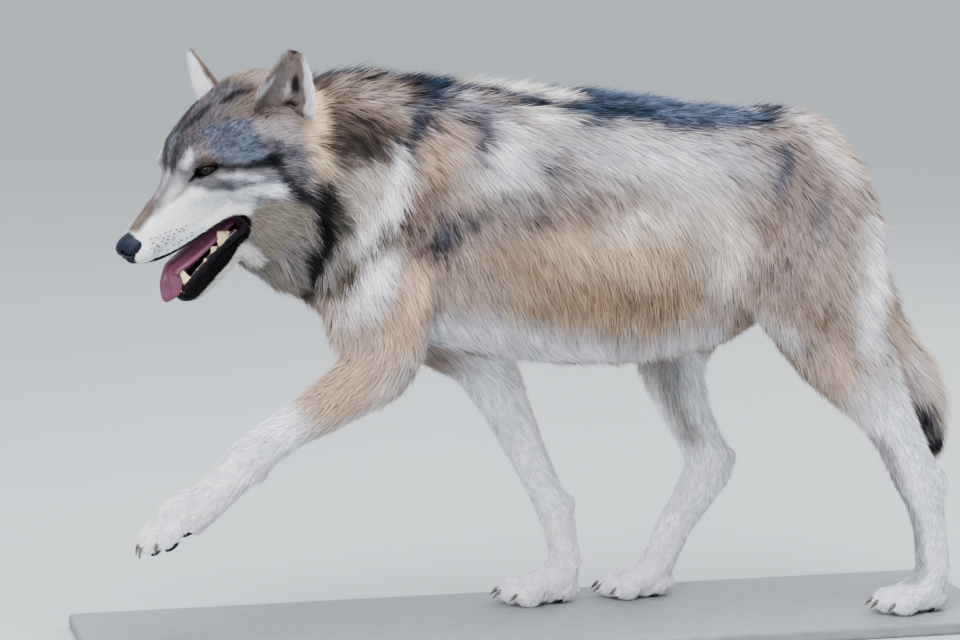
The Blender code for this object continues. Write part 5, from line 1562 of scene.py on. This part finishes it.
def skinFinish():
    # the hide under the hair: the same markings, darkened, with a fine nap
    paint = Finish("wolfSkin", Roughness=0.72, Specular_IOR_Level=0.07)
    shade, state = paint.attribute("marking"), paint.attribute("state")
    tips, bare = paint.parts(state)[:2]
    grain = paint.noise(900, 3, paint.position((0.35, 1, 1)))
    fleck = paint.range(paint.noise(420, 4), 0.35, 0.72)
    deep = paint.mix(1.0, shade, tone(120, 112, 110), "MULTIPLY")
    dull = paint.mix(0.3 + 0.45 * tips * fleck, shade, deep)
    warm = paint.mix(0.5 * grain, dull, paint.mix(1.0, dull, tone(222, 206, 194), "MULTIPLY"))
    rough = paint.range(bare, 0.1, 0.9, 0.78, 0.42)
    bump = paint.bump(grain + 0.6 * paint.cells(700), 0.45, 0.0008)
    return paint.wear(Base_Color=paint.mix(bare, warm, shade), Roughness=rough, Normal=bump)


def eyeMesh(side):
    gaze = Vector(eyeForm["gaze"]).normalized()
    turn = gaze.to_track_quat("Z", "Y").to_matrix().to_4x4()
    shape = bmesh.new()
    radius = eyeForm["radius"]
    bmesh.ops.create_uvsphere(shape, u_segments=48, v_segments=48, radius=radius)
    for vertex in shape.verts:
        rise = max(0, (vertex.co.z / radius - eyeForm["corneaFrom"]) / (1 - eyeForm["corneaFrom"]))
        vertex.co.z += eyeForm["corneaRise"] * rise ** eyeForm["corneaPower"]
    local = np.array([v.co for v in shape.verts])
    where = sideHead(side) @ Matrix.Translation(eyeForm["centre"]) @ turn
    bmesh.ops.transform(shape, matrix=where, verts=shape.verts)
    mesh = finished("eye", shape)
    outward = np.hypot(local[:, 0], local[:, 1]) / radius + 2.0 * (local[:, 2] < 0)
    mesh.attributes.new("outward", "FLOAT", "POINT").data.foreach_set("value", outward.astype(np.float32))
    return mesh


def eyeFinish():
    # a black pupil, a brown iris with a dark edge, and the dim white of the eye, outwards from the middle
    paint = Finish("wolfEye", Roughness=0.25, Specular_IOR_Level=0.08, Coat_Weight=0.08, Coat_Roughness=0.04)
    outward = paint.attribute("outward", "Fac")
    rays = paint.noise(1400, 3)
    iris = paint.ramp(outward + 0.1 * (rays - 0.5), [
        (0.0, (0.002, 0.002, 0.002)), (0.27, (0.002, 0.002, 0.002)), (0.31, (0.02, 0.016, 0.009)),
        (0.42, (0.016, 0.012, 0.007)), (0.52, (0.008, 0.006, 0.004)), (0.58, (0.004, 0.003, 0.003)),
        (0.7, (0.016, 0.011, 0.01)), (0.95, (0.035, 0.026, 0.024)),
    ])
    return paint.wear(Base_Color=iris)


noseForm = {
    "balls": metres((
        ((20.5, 0, -13), (21.5, 18.5, 13.2)), ((19.5, 10.5, -16.8), (17.5, 12.5, 12.5)),
        ((19.5, -10.5, -16.8), (17.5, 12.5, 12.5)), ((18, 0, -28), (13, 10, 11.5)),
        ((27, 0, -10), (16.5, 18, 10.8)),
    )),
    "nostril": metres((  # a comma that curls back along the side
        ((3.5, 8.5, -15), (5, 3.6, 4.4)), ((5.5, 12.5, -16.2), (5, 3, 3)),
        ((8.5, 16, -18.5), (5, 2.8, 1.9)), ((12.5, 19, -20.5), (5, 3, 1.4)),
    )),
    "groove": metres(((2, 0, -27), (6, 0.7, 13))),
    "voxels": ((0.0008, 8), (0.0005, 2), (0.0007, 3)),  # of the pad, the holes and both
}


def noseMesh():
    padVoxel, holeVoxel, lastVoxel = noseForm["voxels"]
    shape = bmesh.new()
    for centre, radii in noseForm["balls"]:
        addBall(shape, centre, radii, head)
    pad = fused("nose", shape, *padVoxel)
    holes = bmesh.new()
    for side in (left, right):
        for (x, y, z), radii in noseForm["nostril"]:
            addBall(holes, (x, side * y, z), radii, head, 0, 16, 10)
    addBall(holes, *noseForm["groove"], head, 0, 16, 12)
    return worked(cut(pad, [fused("holes", holes, *holeVoxel)]), fuse(*lastVoxel))


def noseFinish():
    paint = Finish("noseLeather", Roughness=0.45, Specular_IOR_Level=0.12,
                   Coat_Weight=0.04, Coat_Roughness=0.25)
    pebbles = paint.cells(950)
    patches = paint.noise(160, 3)
    # black leather with bluish patches, partly painted reflection of the sky
    colour = paint.mix(patches, (0.0015, 0.0025, 0.006), (0.004, 0.008, 0.02))
    return paint.wear(Base_Color=paint.mix(paint.range(pebbles, 0.0, 0.5), (0.001, 0.001, 0.002), colour),
                      Roughness=0.34 + 0.22 * patches, Normal=paint.bump(pebbles, 0.5, 0.0007))


mouthForm = {
    "upperGum": -0.037, "lowerGum": -0.032, "tongueLean": 0.26, "tongueTurn": 0.78,
    "upperTeeth": (  # x, y, height, radius along and across, slant of the tip forward, side cusps
        (34, 3.2, 6, 2.6, 2.2, 0, 0), (35, 8, 6.5, 2.7, 2.2, 0, 0), (37.5, 11.8, 8, 3.3, 2.6, 1, 0),
        (58, 16.5, 17.5, 5, 3.6, 3, 0), (73, 17.8, 6, 4.4, 2.6, 0, 1), (87, 19.5, 7, 5.6, 2.8, 0, 1),
        (103, 21.5, 8, 6, 3.2, 0, 1), (120, 23.5, 10, 8.8, 4.2, 1, 1),
    ),
    "lowerTeeth": (  # in the jaw's frame
        (-171.5, 2.8, 8.5, 2.4, 2, 2, 0), (-170.5, 6.6, 9, 2.6, 2.2, 2, 0),
        (-171, 11.2, 11, 3.2, 2.6, 2, 0), (-158.5, 13.6, 25, 7.6, 5, -5, 0),
        (-139, 13.8, 3.6, 3.8, 2.4, 0, 1), (-123, 14.6, 5, 5.4, 2.8, 0, 1), (-105, 16, 8.8, 6.8, 3.4, 0, 1),
        (-84.5, 18.4, 17, 11.2, 4.8, 1, 1),
    ),
    "lowerLip": metres((  # along the lower jaw's rim from the front to the mouth corner, in the jaw's frame
        (-178.5, 0, -34), (-175, 9, -33.5), (-165, 16, -32.5), (-148, 20, -32), (-125, 22.2, -32.5),
        (-100, 25, -33), (-78, 30, -34.5), (-65, 38, -33), (-56.6, 47, -24.5),
    )),
    "upperLip": metres((  # along the upper jaw's rim, in the head's frame
        (16, 0, -37.5), (21, 9, -39.5), (33, 16.5, -43), (50, 21.5, -45.5), (80, 26, -46.5),
        (110, 30, -46.5), (135, 35, -46.5), (150, 42, -48.5), (158, 48, -60),
    )),
    "upperRim": metres((  # the black along the upper lip, with its radius
        (15, 0, -38.5, 3.6), (24, 12, -41, 3.4), (35, 19, -44, 2.6), (55, 23.5, -46.5, 2.4),
        (90, 27.5, -47.8, 2.6), (125, 32, -48, 3.2), (148, 41, -49, 4), (157, 49, -54, 4.4),
        (156, 51, -66, 4.6),
    )),
    "lowerRim": metres((  # the black along the lower lip, in the jaw's frame, with its radius
        (-179, 0, -34, 10), (-170, 15, -34, 11), (-150, 21, -34, 12.5), (-120, 25, -35, 13.5),
        (-90, 31, -37, 14.5), (-76, 38, -37, 11), (-66, 44, -34, 7),
    )),
    "lowerSide": metres((  # and outside it, down the side of the jaw
        (-176, 0, -48, 12), (-165, 12, -43, 14), (-133, 19, -41.5, 14.5), (-101, 25, -41.5, 14.5),
        (-80, 33, -38, 12),
    )),
    "tongue": metres((  # in the jaw's frame: centre, half thickness, half width
        (-8, 0, -26, 6, 19), (-35, 0, -24, 6.5, 21), (-75, 0, -19, 6, 20.5), (-115, -1, -16, 5, 18),
        (-140, -2, -11, 4.8, 16.5), (-156, -3, -6.5, 4.6, 15.5), (-166, -5, -7.5, 4.5, 15.5),
        (-173.5, -6, -14, 4.4, 16.2), (-180, -7.5, -21.5, 4.3, 16.5), (-185.5, -8, -27.5, 4, 15),
        (-189.5, -8, -32, 3.4, 10.5),
    )),
}


toothForm = {
    "depth": 0.005, "bow": -0.1, "spread": 1.1, "lean": 0.001, "narrowing": (1.7, 0.75),
    "cusps": ((-0.62, 0.58, 0.6), (0.62, 0.52, 0.6)),  # place along the tooth, height, size
}


def addTooth(shape, root, tip, ahead, radiusAlong, radiusAcross, bow, sides=14, levels=8):
    # a tooth or claw: an oval cone that narrows to a blunt point and bows along the vector
    axis = (tip - root).normalized()
    ahead = (ahead - axis * ahead.dot(axis)).normalized()
    across = axis.cross(ahead)
    start, end = toothForm["narrowing"]
    rings = []
    for level in range(levels):
        share = level / levels
        narrow = (1 - share**start) ** end
        centre = root.lerp(tip, share) + bow * (4 * share * (1 - share))
        ring = []
        for side in range(sides):
            angle = 2 * math.pi * side / sides
            out = ahead * (math.cos(angle) * radiusAlong) + across * (math.sin(angle) * radiusAcross)
            ring.append(shape.verts.new(centre + out * narrow))
        rings.append(ring)
    bridge(shape, rings)
    peak = shape.verts.new(tip)
    for side in range(sides):
        shape.faces.new((rings[-1][side], rings[-1][(side + 1) % sides], peak))
    shape.faces.new(list(reversed(rings[0])))


def teethMesh():
    shape = bmesh.new()
    upper = (mouthForm["upperTeeth"], mouthForm["upperGum"], head, -1)
    lower = (mouthForm["lowerTeeth"], mouthForm["lowerGum"], jaw, 1)
    for rows, gum, where, way in (upper, lower):
        ahead = Vector(turned([(-1, 0, 0)], where)[0])
        for *sizes, cusps in rows:
            x, y, height, wide, deep, slant = metres(tuple(sizes))
            bow = Vector(turned([(0 if cusps else toothForm["bow"] * height, 0, 0)], where)[0])
            for side in (left, right):
                for shift, tall, share in ((0, 1, 1), *toothForm["cusps"][:2 * cusps]):
                    root = Vector((x + shift * wide, side * y, gum - way * toothForm["depth"]))
                    tipX = x + shift * wide * toothForm["spread"] - slant
                    tip = Vector((tipX, side * (y + toothForm["lean"]), gum + way * height * tall))
                    addTooth(shape, where @ root, where @ tip, ahead, wide * share, deep * share, bow)
    return finished("teeth", shape)


def teethFinish():
    paint = Finish("toothEnamel", Roughness=0.28, Specular_IOR_Level=0.5)
    stain = paint.noise(240, 4)
    streak = paint.noise(900, 2, paint.position((1, 1, 0.3)))
    colour = paint.mix(paint.range(stain, 0.35, 0.65), tone(226, 200, 140), tone(240, 226, 186))
    colour = paint.mix(0.35 * streak, colour, tone(176, 132, 74))
    return paint.wear(Base_Color=colour, Roughness=0.22 + 0.2 * stain)


def lipsMesh():
    shape = bmesh.new()
    addBand(shape, mouthForm["lowerLip"], jaw, 0.0026, 0.0048, 0.25)
    addBand(shape, mouthForm["upperLip"], head, 0.002, 0.0022, 0.15)
    return worked(finished("lips", shape), [("SUBSURF", {"levels": 1})])


def lipsFinish():
    paint = Finish("lipSkin", Roughness=0.45, Specular_IOR_Level=0.07, Coat_Weight=0.02, Coat_Roughness=0.3)
    mottle = paint.noise(260, 4)
    colour = paint.mix(paint.range(mottle, 0.55, 0.78), (0.004, 0.0035, 0.0045), (0.04, 0.012, 0.02))
    bump = paint.bump(paint.cells(600) + paint.noise(500, 3), 0.35, 0.0008)
    return paint.wear(Base_Color=colour, Roughness=0.36 + 0.25 * mottle, Normal=bump)


whiskerForm = {  # rows down the upper lip and stubs along them, with the steps from one to the next
    "rows": 5, "spots": 8, "start": (0.031, -0.008), "alongStep": (0.0078, -0.0027), "rowStep": -0.0066,
    "stagger": 0.0025, "scatter": 0.0011, "lowest": -0.0415, "side": 0.045, "way": (1, 0, -0.2),
    "rootRise": 0.0011, "tipRise": 0.0003, "length": (0.0028, 0.0044), "radii": (0.0007, 0.0008), "seed": 5,
}


def whiskersMesh(tree):
    # short dark stubs in slanting rows over the upper lip, lying in the hair
    form = whiskerForm
    shape = bmesh.new()
    rng = np.random.default_rng(form["seed"])
    way = Vector(turned([form["way"]], head)[0])
    for side, row, spot in itertools.product((left, right), range(form["rows"]), range(form["spots"])):
        dx, dz = rng.uniform(-form["scatter"], form["scatter"], 2)
        x = form["start"][0] + form["alongStep"][0] * spot + form["stagger"] * (row % 2) + dx
        z = form["start"][1] + form["rowStep"] * row + form["alongStep"][1] * spot + dz
        if z < form["lowest"]:
            continue
        near, normal, *rest = tree.find_nearest(head @ Vector((x, side * form["side"], z)))
        back = (way - normal * way.dot(normal)).normalized()
        root = near + normal * form["rootRise"]
        tip = root + back * rng.uniform(*form["length"]) + normal * form["tipRise"]
        addTooth(shape, root, tip, normal, *form["radii"], Vector((0, 0, 0)), 6, 3)
    return finished("whiskers", shape)


def whiskersFinish():
    paint = Finish("whiskerRoot", Roughness=0.6, Specular_IOR_Level=0.2)
    return paint.wear(Base_Color=paint.mix(paint.noise(300, 2), tone(24, 28, 44), tone(60, 64, 84)))


gumForm = {"setBack": 0.001, "rise": (0.0006, -0.001), "size": (0.0042, 0.0036), "wave": 0.12,
           "ends": metres(((155, 31, -37), (-50, 28.5, -34)))}


def gumsMesh():
    shape = bmesh.new()
    upper = (mouthForm["upperTeeth"], mouthForm["upperGum"], head)
    lower = (mouthForm["lowerTeeth"], mouthForm["lowerGum"], jaw)
    for (rows, gum, where), rise, end in zip((upper, lower), gumForm["rise"], gumForm["ends"]):
        line = [(metres(x) + gumForm["setBack"], metres(y), gum + rise) for x, y, *rest in rows]
        front = (line[0][0] - gumForm["setBack"], 0, line[0][2])
        addBand(shape, [front, *line, end], where, *gumForm["size"], gumForm["wave"])
    return worked(finished("gums", shape), [("SUBSURF", {"levels": 1})])


def gumsFinish():
    paint = Finish("gumSkin", Roughness=0.3, Coat_Weight=0.4, Coat_Roughness=0.15)
    mottle = paint.range(paint.noise(190, 4), 0.42, 0.6)
    return paint.wear(Base_Color=paint.mix(mottle, (0.16, 0.045, 0.065), (0.02, 0.012, 0.018)),
                      Normal=paint.bump(paint.noise(700, 3), 0.3, 0.0006))


tongueForm = {
    "squareness": 2.6, "voxel": 0.0012, "smoothing": 5,
    "leanFrom": (-0.185, -0.15), "leanTo": (-0.01, -0.06),
    "middle": (-0.002, -0.006), "turnAt": (-0.162, -0.176), "narrowing": 0.4,
    "grooveAt": (0.075, 0.16, 0.192), "grooveMiddle": (0.0, -0.003, -0.008), "grooveWidth": 0.0026,
    "grooveDepth": 0.0016, "ripple": (0.0004, 0.012, 31), "topWay": (-0.35, 0, 1),
}


def tongueMesh():
    form = tongueForm
    shape = bmesh.new()
    addLoft(shape, [(*row, form["squareness"]) for row in mouthForm["tongue"]], jaw, 28, 5)
    mesh = fused("tongue", shape, form["voxel"], form["smoothing"])
    inJaw = moved(vertexArray(mesh), jaw.inverted())
    lean = softStep(inJaw[:, 0], *form["leanFrom"]) * softStep(inJaw[:, 0], *form["leanTo"])
    inJaw[:, 2] += mouthForm["tongueLean"] * lean * (inJaw[:, 1] - form["middle"][0])
    # the hanging end is turned towards the left
    turnedOut = softStep(inJaw[:, 0], *form["turnAt"])
    aside = inJaw[:, 1] - form["middle"][1]
    inJaw[:, 0] -= mouthForm["tongueTurn"] * turnedOut * aside
    inJaw[:, 1] -= form["narrowing"] * turnedOut * aside
    setVertices(mesh, moved(inJaw, jaw))
    points, normals = vertexArray(mesh), vertexNormals(mesh)
    middle = np.interp(-inJaw[:, 0], form["grooveAt"], form["grooveMiddle"])
    upward = (normals @ turned([form["topWay"]], jaw)[0]) > 0
    groove = form["grooveDepth"] * np.exp(-((inJaw[:, 1] - middle) / form["grooveWidth"]) ** 2) * upward
    height, size, seed = form["ripple"]
    setVertices(mesh, points - normals * (groove - height * patchy(points, size, seed))[:, None])
    return mesh


def tongueFinish():
    paint = Finish("tongueFlesh", Roughness=0.42, Subsurface_Weight=0.06, Subsurface_Scale=0.004,
                   Coat_Weight=0.14, Coat_Roughness=0.3)
    buds = paint.cells(1300)
    colour = paint.mix(paint.noise(60, 3), tone(72, 20, 46), tone(114, 42, 80))
    colour = paint.mix(0.4 * paint.range(buds, 0.0, 0.6), colour, tone(82, 26, 52))
    rough = 0.3 + 0.2 * paint.noise(120, 2)
    return paint.wear(Base_Color=colour, Roughness=rough, Normal=paint.bump(buds, 0.35, 0.0006))


clawForm = {
    "length": 0.0155, "radii": (0.004, 0.003), "drop": -0.0085, "bow": 0.0034, "rise": 0.001, "spread": 1.06,
    "rootAt": 0.62, "tipAt": 0.65,
}


def clawsMesh():
    form = clawForm
    shape = bmesh.new()
    for name in legNames:
        where = pawPlace(name)
        up = Vector(turned([(0, 0, 1)], where)[0])
        bow = Vector(turned([(0, 0, form["bow"])], where)[0])
        for (x, y, z), radii in pawForm["toes"]:
            root = where @ Vector((x - radii[0] * form["rootAt"], y, z + form["rise"]))
            tipX = x - radii[0] * form["tipAt"] - form["length"]
            tip = where @ Vector((tipX, y * form["spread"], z + form["drop"]))
            addTooth(shape, root, tip, up, *form["radii"], bow)
    return finished("claws", shape)


def clawFinish():
    paint = Finish("clawHorn", Roughness=0.35)
    grain = paint.noise(500, 4, paint.position((0.25, 1, 1)))
    colour = paint.mix(grain, tone(44, 38, 36), tone(104, 92, 84))
    rough = 0.28 + 0.25 * grain
    return paint.wear(Base_Color=colour, Roughness=rough, Normal=paint.bump(grain, 0.25, 0.0005))


padForm = {  # places and radii beside a toe's centre or the paw's
    "toe": ((-0.004, 0, -0.0105), (0.0125, 0.0082, 0.0062)),
    "main": ((-0.004, 0, 0.0005), (0.018, 0.018, 0.007)),
    "lobe": ((0.008, 0.0115, 0.0008), (0.01, 0.008, 0.0062)),
    "pitch": -8, "voxel": 0.0016, "smoothing": 4,
    "pressed": 0.0055,  # how far the pads of a standing paw are pushed in
}


def padsMesh():
    made = []
    for name in legNames:
        shape = bmesh.new()
        where = pawPlace(name)
        lift = 0 if name == "foreleg_left" else padForm["pressed"]
        for (x, y, z), radii in pawForm["toes"]:
            (dx, dy, dz), size = padForm["toe"]
            addBall(shape, (x + dx, y + dy, z + dz + lift), size, where, padForm["pitch"])
        (x, y, z), size = padForm["main"]
        addBall(shape, (x, y, z + lift), size, where)
        (x, y, z), size = padForm["lobe"]
        addPair(shape, (x, y, z + lift), size, where)
        made.append(fused("pads", shape, padForm["voxel"], padForm["smoothing"]))
    return joined("pads", made)


def baseFinish():
    paint = Finish("standPaint", Roughness=0.6)
    speckle = paint.noise(60, 5)
    fine = paint.noise(420, 3)
    colour = paint.mix(paint.range(speckle, 0.3, 0.7), tone(120, 122, 120), tone(134, 135, 132))
    colour = paint.mix(0.25 * fine, colour, tone(88, 90, 88))
    rough = 0.5 + 0.25 * speckle
    return paint.wear(Base_Color=colour, Roughness=rough, Normal=paint.bump(fine, 0.15, 0.0005))


buildStage()
skinMesh, kind = buildSkin()
skinPiece = place("skin", skinMesh, bpy.data.materials.new("unused"), fleshNames)
unwrap(skinPiece)
skinMesh.materials[0] = skinFinish()
coatSkin = buildCoat(skinPiece, kind)
skinColour, skinTips, skinBare = coatSkin.skinMarks
state = np.column_stack([skinTips, skinBare, skinBare * 0, np.ones(len(kind))])
marking = np.column_stack([skinColour, np.ones(len(kind))])
setColours(skinMesh, "marking", marking)
setColours(skinMesh, "state", state)

eyePaint = eyeFinish()
for name, side in (("eye_left", left), ("eye_right", right)):
    place("eyeball_" + name[4:], eyeMesh(side), eyePaint, [name])
leather = noseFinish()
place("nosePad", noseMesh(), leather, ["nose"])
place("pads", padsMesh(), leather)
place("whiskers", whiskersMesh(coatSkin.tree), whiskersFinish())
place("lips", lipsMesh(), lipsFinish())
place("gums", gumsMesh(), gumsFinish())
place("teeth", teethMesh(), teethFinish())
place("tongueFlesh", tongueMesh(), tongueFinish(), ["tongue"])
place("claws", clawsMesh(), clawFinish())
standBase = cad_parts["stand_base"]
standBase.data.materials[0] = baseFinish()
print("pieces made")
